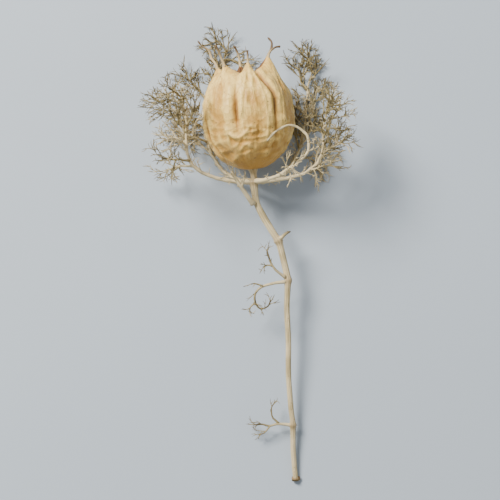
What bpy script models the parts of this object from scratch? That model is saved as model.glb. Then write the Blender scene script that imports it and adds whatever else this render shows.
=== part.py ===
"""A dried nigella seed pod, as picked and laid down: its capsule, styles, bracts, leaves and stem.

Run it with blender --background --python part.py, or from Blender's text editor.

The pod is drawn in a frame of its own, in millimetres. Its origin is the joint where the bracts
meet the stem. There x points right, y towards the crown and z up, away from the surface.
lie_down() turns that frame until the capsule's belly and the end of the stem touch the surface
z = 0, and it gives metres.
"""

import math
import random

import bmesh
import bpy
from mathutils import Matrix, Vector

MM = 0.001
GAP = 0.3  # clear space between two pieces that touch, in millimetres

# Capsule, in millimetres. Heights run along its axis, from the end of the neck under it.
CAPSULE_RADIUS = 12.1
BELLY_REACH = 12.2  # from its axis down to the surface, where it lies tilted
CAPSULE_WAIST = 14.0  # height where it is widest
CAPSULE_BELOW = 14.2  # half height of its lower part
CAPSULE_ABOVE = 14.7  # half height of its upper part
CROWN_FROM = 25.2  # height where the crown's rim begins
CROWN = ((25.9, 6.4), (26.0, 5.0), (25.5, 3.3), (24.9, 1.6))  # (height, radius) inwards
CROWN_FLOOR = 24.7
CAPSULE_COLUMNS = 60
CAPSULE_RINGS = 15
CAPSULE_LEAN = math.radians(4.5)  # to the left
NECK_LENGTH = 3.4  # from the bracts' joint to the capsule

# One furrow runs between each two chambers. Azimuths are in degrees about the capsule's axis,
# 0 facing up, away from the surface, and 90 facing right.
FURROWS = (-19, 36, 96, 158, 222, 288)
FURROW_DEPTH = 0.07  # as a share of the radius
FURROW_HALF_WIDTH = 8

# Beaks: (azimuth, radius of the tip's place, height of the tip)
BEAKS = (
    (8, 6.6, 27.5),
    (66, 6.8, 29.0),
    (127, 6.9, 28.0),
    (190, 6.4, 27.8),
    (255, 7.4, 27.6),
    (314, 7.4, 27.6),
)
BEAK_ROOT_RADIUS = 1.5
BEAK_TIP_RADIUS = 0.5
BEAK_ROOT_SINKS = 3.2  # how far below its tip a beak's root lies

# Styles, one for each beak, as (outwards, sideways, up) from the beak's tip
STYLES = (
    ((0, 0, 0), (0.2, 0, 1.6), (0.3, 0.1, 3.2)),
    ((0, 0, 0), (0.9, 0.2, 1.3), (2.1, 0.5, 2.2), (3.2, 1.3, 2.2)),
    ((0, 0, 0), (0.8, -0.2, 1.9), (2.1, -0.3, 3.7), (3.0, 0.4, 5.6), (2.6, 1.4, 7.0)),
    ((0, 0, 0), (0.5, 0.1, 2.0), (0.9, 0.4, 4.0), (0.6, 1.2, 5.6)),
    ((0, 0, 0), (1.4, -0.2, 2.4), (2.0, -0.2, 4.6), (3.6, 0.3, 6.0), (4.6, 0.9, 7.4)),
    ((0, 0, 0), (0.9, 0, 1.8), (1.9, 0.1, 3.5), (2.8, 0.4, 5.0)),
)
STYLE_RADII = (0.42, 0.26)

# Stem: (x, y, z, radius) from the neck's upper end down to the cut
STEM = (
    (-0.24, 3.1, 0, 1.5),
    (-0.1, 2.2, 0, 1.2),
    (0, 1.1, 0, 1.25),
    (0, 0, 0, 1.75),
    (0.1, -1.3, 0, 1.35),
    (0.7, -5.3, 0, 1.0),
    (2.6, -9.2, 0.1, 0.9),
    (5.6, -14.1, 0.2, 0.9),
    (6.4, -15.3, 0.2, 1.25),
    (6.9, -16.7, 0.2, 0.9),
    (7.9, -20.7, 0.2, 0.85),
    (8.8, -24.6, 0.2, 0.85),
    (9.0, -25.8, 0.2, 1.05),
    (8.9, -27.4, 0.2, 0.8),
    (8.7, -33.4, 0.1, 0.75),
    (9.1, -41.8, 0.3, 0.72),
    (9.1, -50.2, 0.4, 0.7),
    (9.7, -58.6, 0.2, 0.7),
    (10.2, -62.6, 0.1, 0.72),
    (10.3, -63.8, 0.1, 0.95),
    (10.3, -65.2, 0, 0.7),
    (10.4, -71.5, 0, 0.65),
    (11.0, -78.3, 0, 0.65),
)
STEM_POINTS = 48
CURVE_STEPS = 12  # steps between two given points, when a smooth curve is measured

# Bracts: the hand-drawn main thread of each, its radii at both ends, how many arms leave it,
# from what share of its length, the first arm's length, and a seed for the arms' bends
BRACTS = {
    "bract_left": {
        "axis": (
            (-2.0, 0.2, 0.4),
            (-6.3, 0.3, 1.2),
            (-12.9, 2.1, 2.6),
            (-16.6, 5.2, 3.6),
            (-17.6, 9.4, 4.6),
            (-17.4, 14.2, 5.2),
            (-18.0, 19.0, 5.4),
            (-19.2, 23.6, 5.0),
        ),
        "radii": (0.75, 0.3),
        "arms": 10,
        "arms_from": 0.42,
        "arm_length": 12.0,
        "seed": 11,
    },
    "bract_right": {
        "axis": (
            (2.0, 0.2, 0.3),
            (5.6, 0.6, 1.0),
            (11.5, 1.6, 2.4),
            (15.6, 3.8, 3.8),
            (17.6, 7.2, 4.8),
            (18.0, 11.6, 5.6),
            (18.4, 16.4, 6.2),
            (19.6, 20.8, 6.4),
        ),
        "radii": (0.75, 0.3),
        "arms": 9,
        "arms_from": 0.42,
        "arm_length": 9.0,
        "seed": 23,
    },
    "bract_front": {
        "axis": (
            (1.0, 0.3, 1.9),
            (3.5, 0.6, 4.8),
            (7.2, 2.0, 8.6),
            (11.0, 4.6, 11.0),
            (13.9, 8.0, 11.8),
            (13.7, 11.4, 11.8),
            (11.7, 13.4, 11.6),
            (9.3, 14.2, 12.0),
            (6.9, 13.6, 12.2),
            (5.0, 11.8, 12.2),
            (3.4, 10.0, 12.0),
        ),
        "radii": (0.65, 0.25),
        "arms": 4,
        "arms_from": 0.3,
        "arm_length": 5.0,
        "seed": 31,
    },
    "bract_under_left": {
        "axis": (
            (-1.2, 0.2, -1.5),
            (-4.2, 0.8, -5.0),
            (-8.2, 3.4, -8.4),
            (-11.2, 8.0, -12.0),
            (-13.2, 14.5, -20.0),
            (-13.4, 21.5, -20.0),
            (-11.0, 28.0, -20.0),
            (-8.0, 33.5, -20.0),
            (-6.6, 38.5, -20.0),
        ),
        "radii": (0.75, 0.3),
        "arms": 10,
        "arms_from": 0.34,
        "arm_length": 10.0,
        "seed": 47,
    },
    "bract_under_right": {
        "axis": (
            (1.2, 0.2, -1.5),
            (4.4, 0.8, -5.0),
            (8.6, 3.2, -8.4),
            (11.8, 8.2, -12.0),
            (13.6, 14.5, -20.0),
            (14.2, 21.0, -20.0),
            (14.8, 27.0, -20.0),
            (16.6, 32.5, -20.0),
        ),
        "radii": (0.75, 0.3),
        "arms": 10,
        "arms_from": 0.34,
        "arm_length": 11.0,
        "seed": 59,
    },
}

# Each bract keeps to its own share of the room around the capsule: (from, to) in degrees
SECTORS = {
    "bract_left": (243, 335),
    "bract_right": (63, 117),
    "bract_front": (-25, 58),
    "bract_under_left": (183, 237),
    "bract_under_right": (123, 177),
}
BRACT_POINTS = 20
ARM_RADII = (0.42, 0.25)
LAST_ARM_AT = 0.97  # as a share of the main thread's length
ARM_ANGLE = math.radians(52)
ARM_SHRINKS = 0.45  # how much shorter the last arm is than the first, as a share
TWIGS_AT = (0.4, 0.72)
TWIG_ANGLE = math.radians(55)
TWIG_LENGTH = 0.42  # as a share of its arm's length
TWIG_RADII = (0.3, 0.22)
THREAD_BENDS = (0.3, 1.1)  # the least and most that a thread bends over its length, in radians
LENGTHS_VARY = (0.8, 1.15)
THREAD_STEP = 1.6
CLEAR_OF_CAPSULE = 0.9

# Leaves on the stem: the points of each thread from its root outwards, then its radii
LEAVES = {
    "leaf_top": (
        (
            (
                (-0.2, -5.6, 1.2),
                (-1.6, -3.9, 2.3),
                (-3.2, -1.7, 3.4),
                (-4.7, 0.7, 4.6),
                (-5.9, 2.6, 5.9),
            ),
            (0.6, 0.32),
        ),
        (((-4.7, 0.7, 4.6), (-6.2, 1.2, 5.2), (-7.6, 1.3, 5.0)), (0.36, 0.25)),
        (((-3.2, -1.7, 3.4), (-2.7, -0.2, 4.5), (-2.5, 1.2, 5.7)), (0.36, 0.25)),
    ),
    "leaf_stub": ((((7.4, -14.4, 1.3), (8.6, -13.4, 2.0), (9.6, -12.9, 2.2)), (0.5, 0.38)),),
    "leaf_upper": (
        (
            (
                (7.4, -24.2, 1.2),
                (6.2, -23.4, 1.9),
                (4.9, -22.0, 2.3),
                (3.9, -20.0, 2.3),
                (3.4, -17.7, 2.0),
            ),
            (0.4, 0.25),
        ),
        (((4.9, -22.0, 2.3), (3.6, -21.8, 2.8), (2.4, -22.4, 2.9)), (0.3, 0.22)),
    ),
    "leaf_curled": (
        (
            (
                (7.6, -26.3, 0.6),
                (5.2, -26.5, 1.2),
                (2.4, -27.3, 1.6),
                (0.5, -29.2, 1.6),
                (0.4, -31.6, 1.4),
                (1.9, -33.2, 1.4),
                (3.9, -32.4, 1.9),
                (4.4, -30.8, 2.4),
            ),
            (0.42, 0.25),
        ),
        (((2.4, -27.3, 1.6), (0.6, -26.6, 2.3), (-0.8, -26.7, 2.6)), (0.3, 0.22)),
        (((0.4, -31.6, 1.4), (-0.8, -32.6, 1.0), (-1.2, -34.2, 0.9)), (0.3, 0.22)),
    ),
    "leaf_lower": (
        (
            (
                (9.0, -63.7, 0.2),
                (6.6, -63.4, 0.6),
                (4.2, -63.9, 0.8),
                (1.8, -63.5, 0.8),
                (-0.2, -63.8, 0.6),
            ),
            (0.42, 0.25),
        ),
        (
            ((6.6, -63.4, 0.6), (5.0, -61.6, 1.2), (4.6, -59.4, 1.5), (5.4, -57.6, 1.4)),
            (0.32, 0.22),
        ),
        (((4.2, -63.9, 0.8), (2.8, -65.5, 0.6), (1.2, -66.4, 0.4)), (0.3, 0.22)),
    ),
}

# Where the bracts' joint stands in the part's frame, so that the whole part's box is centred
# over the origin. Its height follows from how the pod lies.
JOINT_X = 1.0
JOINT_Y = 18.3

# Colours and finishes: (red, green, blue), roughness
CAPSULE_LOOK = ((0.66, 0.44, 0.19), 0.55)
STYLE_LOOK = ((0.16, 0.1, 0.04), 0.7)
STEM_LOOK = ((0.58, 0.47, 0.25), 0.6)
BRACT_LOOK = ((0.36, 0.28, 0.13), 0.7)
LEAF_LOOK = ((0.3, 0.23, 0.1), 0.7)

# How the pod lies: the belly of the capsule and the end of the stem touch the surface.
CUT_END = STEM[-1]
LEVER = NECK_LENGTH + CAPSULE_WAIST - CUT_END[1]
TILT = math.atan2(BELLY_REACH - CUT_END[3], LEVER)
JOINT_Z = CUT_END[3] * math.cos(TILT) - CUT_END[1] * math.sin(TILT)
AXIS = Vector((-math.sin(CAPSULE_LEAN), math.cos(CAPSULE_LEAN), 0))
RIGHT = Vector((math.cos(CAPSULE_LEAN), math.sin(CAPSULE_LEAN), 0))
UP = Vector((0, 0, 1))
LYING = Matrix.Translation((JOINT_X, JOINT_Y, JOINT_Z)) @ Matrix.Rotation(TILT, 4, "X")


def lie_down(point):
    """A point of the pod's own frame, in millimetres, as the pod lies, in metres."""
    return LYING @ Vector(point) * MM


def around(azimuth, radius, height):
    """A point at an azimuth and radius about the capsule's axis, and a height above the joint."""
    return AXIS * height + RIGHT * (radius * math.sin(azimuth)) + UP * (radius * math.cos(azimuth))


def between(a, b, c, d, t):
    """A number on the smooth curve from b to c, whose neighbours are a and d (Catmull-Rom)."""
    linear = (c - a) * t
    square = (2 * a - 5 * b + 4 * c - d) * t**2
    cube = (3 * b - a - 3 * c + d) * t**3
    return 0.5 * (2 * b + linear + square + cube)


def smooth_route(points, count):
    """Points along a smooth curve through the given ones, evenly spaced; each may hold a radius."""
    ends = [points[0]] + list(points) + [points[-1]]
    fine = []
    for i in range(len(points) - 1):
        for k in range(CURVE_STEPS):
            fine.append([between(*four, k / CURVE_STEPS) for four in zip(*ends[i : i + 4])])
    fine.append(list(points[-1]))
    reached = [0]
    for before, after in zip(fine, fine[1:]):
        reached.append(reached[-1] + math.dist(before[:3], after[:3]))
    route = []
    k = 0
    for i in range(count):
        target = reached[-1] * i / (count - 1)
        while k < len(fine) - 2 and reached[k + 1] < target:
            k += 1
        t = (target - reached[k]) / (reached[k + 1] - reached[k])
        route.append([p + (q - p) * t for p, q in zip(fine[k], fine[k + 1])])
    return route


def capsule_radius(height):
    """The capsule's radius at a height above its base, 0 beyond both ends."""
    half = CAPSULE_BELOW if height < CAPSULE_WAIST else CAPSULE_ABOVE
    share = (height - CAPSULE_WAIST) / half
    return CAPSULE_RADIUS * math.sqrt(max(0, 1 - share**2))


def settle(point, sector, radius):
    """The nearest place for a thread of this radius: in its sector, off the capsule and surface."""
    height = point.dot(AXIS)
    across = point.dot(RIGHT)
    azimuth = math.degrees(math.atan2(across, point.z))
    middle = (sector[0] + sector[1]) / 2
    off = (azimuth - middle + 180) % 360 - 180
    half = (sector[1] - sector[0]) / 2
    azimuth = math.radians(middle + max(-half, min(half, off)))
    crown = NECK_LENGTH + CROWN_FROM
    nearest = capsule_radius(min(height, crown) - NECK_LENGTH)
    if height > crown:
        nearest = max(nearest, CAPSULE_RADIUS)
    nearest += CLEAR_OF_CAPSULE + radius
    place = around(azimuth, max(math.hypot(across, point.z), nearest), height)
    surface = (radius - JOINT_Z - place.y * math.sin(TILT)) / math.cos(TILT)
    if place.z < surface:
        place.z = surface
        aside = math.sqrt(max(0, nearest**2 - surface**2))
        if abs(place.dot(RIGHT)) < aside:
            place += RIGHT * (math.copysign(aside, math.sin(azimuth)) - place.dot(RIGHT))
    return place


def grow_thread(start, heading, length, curl, sector, radius, draw):
    """The points of a thread that bends one way, more towards its tip, and keeps to its room."""
    count = max(2, round(length / THREAD_STEP))
    bend = Vector([draw.uniform(-1, 1) for _ in range(3)]).cross(heading).normalized()
    points = [start]
    for i in range(count):
        heading = (heading + bend * (curl * (i + 1) / count**2 * 2)).normalized()
        place = settle(points[-1] + heading * (length / count), sector, radius)
        heading = (place - points[-1]).normalized()
        points.append(place)
    return points


def taper(points, radii):
    """The points with a radius each, from radii[0] at the first to radii[1] at the last."""
    last = len(points) - 1
    return [(*p[:3], radii[0] + (radii[1] - radii[0]) * i / last) for i, p in enumerate(points)]


def arm_heading(axis, at, side, draw):
    """The direction in which an arm leaves a bract's main thread at its point number at."""
    along = (axis[at] - axis[at - 1]).normalized()
    outward = axis[at] - AXIS * axis[at].dot(AXIS)
    outward = (outward - along * outward.dot(along)).normalized()
    turn = along.cross(outward) * side * draw.uniform(0.5, 1) + outward * draw.uniform(-0.3, 1.1)
    return along * math.cos(ARM_ANGLE) + turn.normalized() * math.sin(ARM_ANGLE)


def twig_heading(arm, at, draw):
    """The direction in which a twig leaves an arm at its point number at."""
    along = (arm[at] - arm[at - 1]).normalized()
    side = Vector([draw.uniform(-1, 1) for _ in range(3)]).cross(along).normalized()
    return along * math.cos(TWIG_ANGLE) + side * math.sin(TWIG_ANGLE)


def bract_threads(name):
    """The main thread of one bract, and its arms and twigs, as lists of (x, y, z, radius)."""
    bract = BRACTS[name]
    sector = SECTORS[name]
    route = smooth_route(bract["axis"], BRACT_POINTS)
    axis = [Vector(route[0])] + [settle(Vector(p), sector, bract["radii"][0]) for p in route[1:]]
    threads = []
    for k in range(bract["arms"]):
        draw = random.Random(bract["seed"] * 100 + k)
        rank = k / (bract["arms"] - 1)
        at = round((bract["arms_from"] + (LAST_ARM_AT - bract["arms_from"]) * rank) * (len(axis) - 1))
        heading = arm_heading(axis, at, 1 if k % 2 else -1, draw)
        length = bract["arm_length"] * (1 - ARM_SHRINKS * rank) * draw.uniform(*LENGTHS_VARY)
        curl = draw.uniform(*THREAD_BENDS)
        arm = grow_thread(axis[at], heading, length, curl, sector, ARM_RADII[0], draw)
        threads.append(taper(arm, ARM_RADII))
        for reach in TWIGS_AT:
            at_arm = max(1, round(reach * (len(arm) - 1)))
            heading = twig_heading(arm, at_arm, draw)
            twig_length = length * TWIG_LENGTH * draw.uniform(*LENGTHS_VARY)
            curl = draw.uniform(*THREAD_BENDS)
            twig = grow_thread(arm[at_arm], heading, twig_length, curl, sector, TWIG_RADII[0], draw)
            threads.append(taper(twig, TWIG_RADII))
    return taper(axis, bract["radii"]), threads


def material(name, look):
    """A plain material with one colour and roughness."""
    made = bpy.data.materials.new(name)
    made.use_nodes = True
    shader = made.node_tree.nodes["Principled BSDF"]
    shader.inputs["Base Color"].default_value = (*look[0], 1)
    shader.inputs["Roughness"].default_value = look[1]
    shader.inputs["Metallic"].default_value = 0
    return made


def show(name, mesh, look):
    """Puts a mesh in the scene as one piece."""
    mesh.materials.clear()
    mesh.materials.append(material(name, look))
    piece = bpy.data.objects.new(name, mesh)
    bpy.context.scene.collection.objects.link(piece)
    return piece


def helper(name, mesh):
    """A mesh that only shapes another piece."""
    piece = bpy.data.objects.new(name, mesh)
    bpy.context.scene.collection.objects.link(piece)
    piece.hide_render = True
    piece.display_type = "WIRE"
    return piece


def tubes(name, routes, resolution):
    """A mesh of closed round tubes, one along each route of (x, y, z, radius)."""
    curve = bpy.data.curves.new(name, "CURVE")
    curve.dimensions = "3D"
    curve.bevel_depth = MM
    curve.bevel_resolution = resolution
    curve.use_fill_caps = True
    for route in routes:
        spline = curve.splines.new("POLY")
        spline.points.add(len(route) - 1)
        for point, values in zip(spline.points, route):
            point.co = (*lie_down(values[:3]), 1)
            point.radius = values[3]
    holder = bpy.data.objects.new(name, curve)
    bpy.context.scene.collection.objects.link(holder)
    mesh = bpy.data.meshes.new_from_object(holder)
    bpy.data.objects.remove(holder)
    bpy.data.curves.remove(curve)
    mesh.shade_smooth()
    return mesh


def joined_to(piece, mesh):
    """Joins closed tubes to a piece, where they start inside it or inside each other."""
    union = piece.modifiers.new("Union", "BOOLEAN")
    union.operation = "UNION"
    union.solver = "EXACT"
    union.use_self = True
    union.object = helper(piece.name + "_side_threads", mesh)
    return piece


def furrow_depth(azimuth, height):
    """How deep the capsule's wall dips at an azimuth, as a share of its radius."""
    rise = max(0, min(1, height / 6)) * max(0.4, min(1, (CROWN_FROM + 4 - height) / 8))
    depth = 0
    for furrow in FURROWS:
        off = (azimuth - furrow + 180) % 360 - 180
        depth = max(depth, math.exp(-((off / FURROW_HALF_WIDTH) ** 2)))
    return FURROW_DEPTH * depth * rise


def capsule_profile():
    """(height, radius) from just above the base to just before the crown's middle."""
    start = math.asin((0.4 - CAPSULE_WAIST) / CAPSULE_BELOW)
    end = math.asin((CROWN_FROM - CAPSULE_WAIST) / CAPSULE_ABOVE)
    profile = []
    for i in range(CAPSULE_RINGS):
        angle = start + (end - start) * i / (CAPSULE_RINGS - 1)
        half = CAPSULE_BELOW if angle < 0 else CAPSULE_ABOVE
        profile.append((CAPSULE_WAIST + half * math.sin(angle), CAPSULE_RADIUS * math.cos(angle)))
    return profile + list(CROWN)


def seed_capsule():
    """The inflated capsule: a turned body with a furrow between chambers, and a beak on each."""
    built = bmesh.new()
    rings = []
    for height, radius in capsule_profile():
        ring = []
        for i in range(CAPSULE_COLUMNS):
            degrees = 360 * i / CAPSULE_COLUMNS
            reach = radius * (1 - furrow_depth(degrees, height))
            place = around(math.radians(degrees), reach, NECK_LENGTH + height)
            ring.append(built.verts.new(lie_down(place)))
        rings.append(ring)
    for low, high in zip(rings, rings[1:]):
        for i in range(CAPSULE_COLUMNS):
            j = (i + 1) % CAPSULE_COLUMNS
            built.faces.new((low[i], low[j], high[j], high[i]))
    base = built.verts.new(lie_down(AXIS * (NECK_LENGTH + GAP / 2)))
    crown = built.verts.new(lie_down(AXIS * (NECK_LENGTH + CROWN_FLOOR)))
    for i in range(CAPSULE_COLUMNS):
        j = (i + 1) % CAPSULE_COLUMNS
        built.faces.new((rings[0][j], rings[0][i], base))
        built.faces.new((rings[-1][i], rings[-1][j], crown))
    bmesh.ops.recalc_face_normals(built, faces=built.faces)
    mesh = bpy.data.meshes.new("seed_capsule")
    built.to_mesh(mesh)
    built.free()
    mesh.shade_smooth()
    capsule = show("seed_capsule", mesh, CAPSULE_LOOK)
    beaks = [beak_route(beak) for beak in BEAKS]
    return joined_to(capsule, tubes("beaks", beaks, 2))


def beak_tip(beak):
    """The tip of a beak, in the pod's own frame."""
    azimuth, radius, height = beak
    return around(math.radians(azimuth), radius, NECK_LENGTH + height)


def beak_route(beak):
    """A beak, from its root inside the capsule to its tip."""
    azimuth, radius, height = beak
    root = around(math.radians(azimuth), radius - 1.2, NECK_LENGTH + height - BEAK_ROOT_SINKS)
    tip = beak_tip(beak)
    bow = (root + tip) / 2 + (tip - root).cross(AXIS).cross(tip - root).normalized() * 0.1
    middle_radius = (BEAK_ROOT_RADIUS + BEAK_TIP_RADIUS) / 2
    return [(*root, BEAK_ROOT_RADIUS), (*bow, middle_radius), (*tip, BEAK_TIP_RADIUS)]


def style(number):
    """A dried style, standing on its beak with a hair's gap."""
    beak = BEAKS[number]
    azimuth = math.radians(beak[0])
    outward = around(azimuth, 1, 0)
    sideways = around(azimuth + math.pi / 2, 1, 0)
    foot = beak_tip(beak) + AXIS * GAP
    points = [foot + outward * o + sideways * s + AXIS * a for o, s, a in STYLES[number]]
    route = smooth_route(points, 3 * len(points))
    name = f"style_{number + 1}"
    return show(name, tubes(name, [taper(route, STYLE_RADII)], 1), STYLE_LOOK)


def stem():
    """The stem, from the neck under the capsule to its cut end."""
    return show("stem", tubes("stem", [smooth_route(STEM, STEM_POINTS)], 2), STEM_LOOK)


def bract(name):
    """One bract of the nest: a main thread with its arms and twigs grown together."""
    main, side_threads = bract_threads(name)
    piece = show(name, tubes(name, [main], 1), BRACT_LOOK)
    return joined_to(piece, tubes(name, side_threads, 0))


def leaf(name):
    """One dried leaf of the stem."""
    threads = []
    for points, radii in LEAVES[name]:
        threads.append(taper(smooth_route(points, 2 * len(points)), radii))
    piece = show(name, tubes(name, threads[:1], 1), LEAF_LOOK)
    if len(threads) > 1:
        joined_to(piece, tubes(name, threads[1:], 0))
    return piece


def main():
    for old in list(bpy.data.objects):
        bpy.data.objects.remove(old)
    seed_capsule()
    for number in range(len(STYLES)):
        style(number)
    stem()
    for name in BRACTS:
        bract(name)
    for name in LEAVES:
        leaf(name)


main()
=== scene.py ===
"""The looks of a dried nigella seed pod, as picked and laid down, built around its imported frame.

The pod is drawn in a frame of its own, in millimetres. Its origin is the joint where the bracts
meet the stem. There x points right, y towards the crown and z up, away from the surface.
lie_down() turns that frame until the capsule's belly and the end of the stem touch the surface
z = 0, and it gives metres.
"""

import math
import random
from collections import namedtuple

import bmesh
import bpy
from bpy.props import FloatProperty, FloatVectorProperty, IntProperty, PointerProperty
from bpy.types import Operator, Panel, PropertyGroup
from mathutils import Matrix, Vector, noise


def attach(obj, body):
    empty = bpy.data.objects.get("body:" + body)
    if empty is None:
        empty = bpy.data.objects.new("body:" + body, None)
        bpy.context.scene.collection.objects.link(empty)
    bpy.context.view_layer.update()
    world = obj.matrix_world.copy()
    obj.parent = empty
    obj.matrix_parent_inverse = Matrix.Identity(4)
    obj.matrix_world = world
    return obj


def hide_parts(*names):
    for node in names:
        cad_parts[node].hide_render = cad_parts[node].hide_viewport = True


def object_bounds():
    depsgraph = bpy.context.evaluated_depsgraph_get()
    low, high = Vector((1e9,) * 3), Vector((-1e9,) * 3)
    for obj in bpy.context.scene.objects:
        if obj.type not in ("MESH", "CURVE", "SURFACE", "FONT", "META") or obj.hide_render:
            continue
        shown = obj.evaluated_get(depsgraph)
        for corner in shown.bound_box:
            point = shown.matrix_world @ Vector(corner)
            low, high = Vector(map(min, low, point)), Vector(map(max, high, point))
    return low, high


bl_info = {
    "name": "Nigella Seed Pod",
    "version": (1, 0, 0),
    "blender": (4, 5, 0),
    "location": "View3D > Sidebar > Nigella",
    "description": "Builds the looks of a dried nigella seed pod around its frame",
    "category": "Add Mesh",
}

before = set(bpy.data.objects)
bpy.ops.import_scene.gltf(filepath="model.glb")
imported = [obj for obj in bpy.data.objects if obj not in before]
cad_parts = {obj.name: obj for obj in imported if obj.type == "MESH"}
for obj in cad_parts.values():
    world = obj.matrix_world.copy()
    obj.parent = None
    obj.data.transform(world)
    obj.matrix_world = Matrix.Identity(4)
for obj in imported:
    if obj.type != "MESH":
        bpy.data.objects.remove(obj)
FRAME_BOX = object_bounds()

MM = 0.001

# Capsule, in millimetres. Heights run along its axis, from the end of the neck under it.
CAPSULE_RADIUS = 12.1
BELLY_REACH = 12.2  # from its axis down to the surface, where it lies tilted
CAPSULE_WAIST = 14.0  # height where it is widest
CAPSULE_BELOW = 14.2  # half height of its lower part
CAPSULE_ABOVE = 14.7  # half height of its upper part
CROWN_FROM = 25.2  # height where the crown's rim begins
CROWN = ((25.9, 6.4), (26.0, 5.0), (25.3, 3.3), (24.5, 1.6), (24.2, 0))  # (height, radius) inwards
CROWN_TOP = 25.9
WEDGES = 12  # equal slices that the capsule's smooth wall is spun from
CAPSULE_LEAN = math.radians(4.5)  # to the left
NECK_LENGTH = 3.4  # from the bracts' joint to the capsule

# The furrows between the chambers: azimuth at the belly and how far it turns at the crown, in
# degrees, then the depth, the height where it is deepest, half the height of the deep stretch,
# the depth elsewhere as a share, and how deep it notches the crown's rim.
# Azimuth 0 faces up, away from the surface, and 90 faces right.
FURROWS = (
    (-16.5, 3, 1.7, 15.2, 5.2, 0.12, 0.9),
    (37, -14, 0.95, 18.5, 8.0, 0.3, 0.5),
    (98, -4, 0.8, 14.0, 8.0, 0.3, 0.7),
    (158, 4, 1.2, 15.0, 7.0, 0.25, 0.8),
    (222, -3, 1.1, 13.5, 7.0, 0.25, 0.8),
    (292, 6, 1.0, 12.0, 8.0, 0.3, 0.6),
)
LIP_ASIDE = 1.45  # from a furrow's bottom to the middle of the puffed lip beside it
# Painted light and shade: raised lumps, ribs and lips are coloured paler, and sunken panels and dents more gold.
FULL_SWELL = 0.42  # how far a lump stands out where the wall has its palest colour
PANEL_FROM = 2.3  # from a furrow's bottom to where the sunken panel of a chamber begins

# Beaks: (azimuth, radius of the tip's place, height of the tip)
BEAKS = (
    (8, 6.6, 27.5),
    (66, 6.8, 29.0),
    (127, 6.9, 28.0),
    (190, 6.4, 27.8),
    (255, 7.4, 27.6),
    (314, 7.4, 27.6),
)
BEAK_SPREADS = (0.85, 1.5, 1.1, 0.9, 1.0, 0.95)  # each beak's width against the usual one

# Single creases of the wall: points as (azimuth, height), how far the crease stands out (below 0
# it is a groove), its half width, and how dark its painted shade is, which only grooves have
CREASES = (
    (((-36, 11.9), (-28, 9.2), (-19, 8.1), (-9, 8.6), (1, 10.7)), 0.42, 0.42, 0),
    (((-31, 8.4), (-20, 6.7), (-8, 7.2)), -0.3, 0.6, 0.12),
    (((-19, 4.6), (-11, 6.0), (-4, 6.3), (3, 5.0)), 0.32, 0.4, 0),
    (((-15, 4.2), (-5, 4.9)), -0.25, 0.5, 0.15),
    (((2, 11.6), (4, 9.8), (2, 8.0)), 0.2, 0.3, 0),
    (((9, 11.2), (12, 9.4), (10, 7.4), (14, 6.0)), -0.22, 0.35, 0.15),
    (((18, 10.4), (23, 8.2), (31, 7.0), (38, 7.8)), 0.26, 0.42, 0),
    (((20, 5.2), (30, 4.8), (40, 6.2)), -0.26, 0.5, 0.12),
    (((-44, 24.2), (-49, 22.4), (-50, 20.0)), -0.3, 0.3, 0.25),
    (((-48, 26.0), (-51, 24.4)), -0.55, 0.36, 0.85),
    (((-60, 16.0), (-50, 13.4), (-44, 12.2)), 0.22, 0.4, 0),
    (((14, 25.0), (23, 23.0), (30, 20.6)), -0.26, 0.34, 0.35),
    (((46, 13.0), (56, 11.4), (66, 12.2)), 0.25, 0.4, 0),
    (((70, 8.0), (84, 7.2), (92, 8.4)), 0.25, 0.4, 0),
    (((104, 12.2), (118, 10.2), (134, 10.8)), 0.3, 0.42, 0),
    (((112, 7.0), (128, 6.0), (142, 6.8)), -0.28, 0.5, 0.12),
    (((168, 11.6), (182, 9.4), (200, 10.4), (212, 12.4)), 0.3, 0.42, 0),
    (((176, 6.2), (190, 5.2), (204, 6.0)), 0.26, 0.4, 0),
    (((232, 12.0), (246, 10.0), (262, 11.0), (276, 13.2)), 0.32, 0.42, 0),
    (((240, 7.4), (256, 6.4), (270, 7.2)), -0.28, 0.5, 0.12),
)

# Styles, one for each beak, as (outwards, sideways, up) from the beak's tip
STYLES = (
    ((0, 0, 0), (0.2, 0, 1.6), (0.3, 0.1, 3.2)),
    ((0, 0, 0), (0.9, 0.2, 1.3), (2.1, 0.5, 2.2), (3.2, 1.3, 2.2)),
    ((0, 0, 0), (0.8, -0.2, 1.9), (2.1, -0.3, 3.7), (3.0, 0.4, 5.6), (2.6, 1.4, 7.0)),
    ((0, 0, 0), (0.5, 0.1, 2.0), (0.9, 0.4, 4.0), (0.6, 1.2, 5.6)),
    ((0, 0, 0), (1.4, -0.2, 2.4), (2.0, -0.2, 4.6), (3.6, 0.3, 6.0), (4.6, 0.9, 7.4)),
    ((0, 0, 0), (0.9, 0, 1.8), (1.9, 0.1, 3.5), (2.8, 0.4, 5.0)),
)
STYLE_SINKS = 0.7  # how far a style's root goes down into its beak

# Stem: (x, y, z, radius) from the neck's upper end down to the cut
STEM = (
    (-0.26, 3.7, 0, 1.4),
    (-0.1, 2.4, 0, 0.9),
    (0, 1.1, 0, 0.9),
    (0, 0, 0, 1.4),
    (0.1, -1.3, 0, 1.0),
    (0.7, -5.3, 0, 0.85),
    (2.6, -9.2, 0.1, 0.9),
    (5.6, -14.1, 0.2, 0.9),
    (6.4, -15.3, 0.2, 1.25),
    (6.9, -16.7, 0.2, 0.9),
    (7.9, -20.7, 0.2, 0.85),
    (8.8, -24.6, 0.2, 0.85),
    (9.0, -25.8, 0.2, 1.05),
    (8.9, -27.4, 0.2, 0.8),
    (8.7, -33.4, 0.1, 0.75),
    (9.1, -41.8, 0.3, 0.72),
    (9.1, -50.2, 0.4, 0.7),
    (9.7, -58.6, 0.2, 0.7),
    (10.2, -62.6, 0.1, 0.72),
    (10.3, -63.8, 0.1, 0.95),
    (10.3, -65.2, 0, 0.7),
    (10.4, -71.5, 0, 0.65),
    (11.0, -78.3, 0, 0.65),
)
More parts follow.
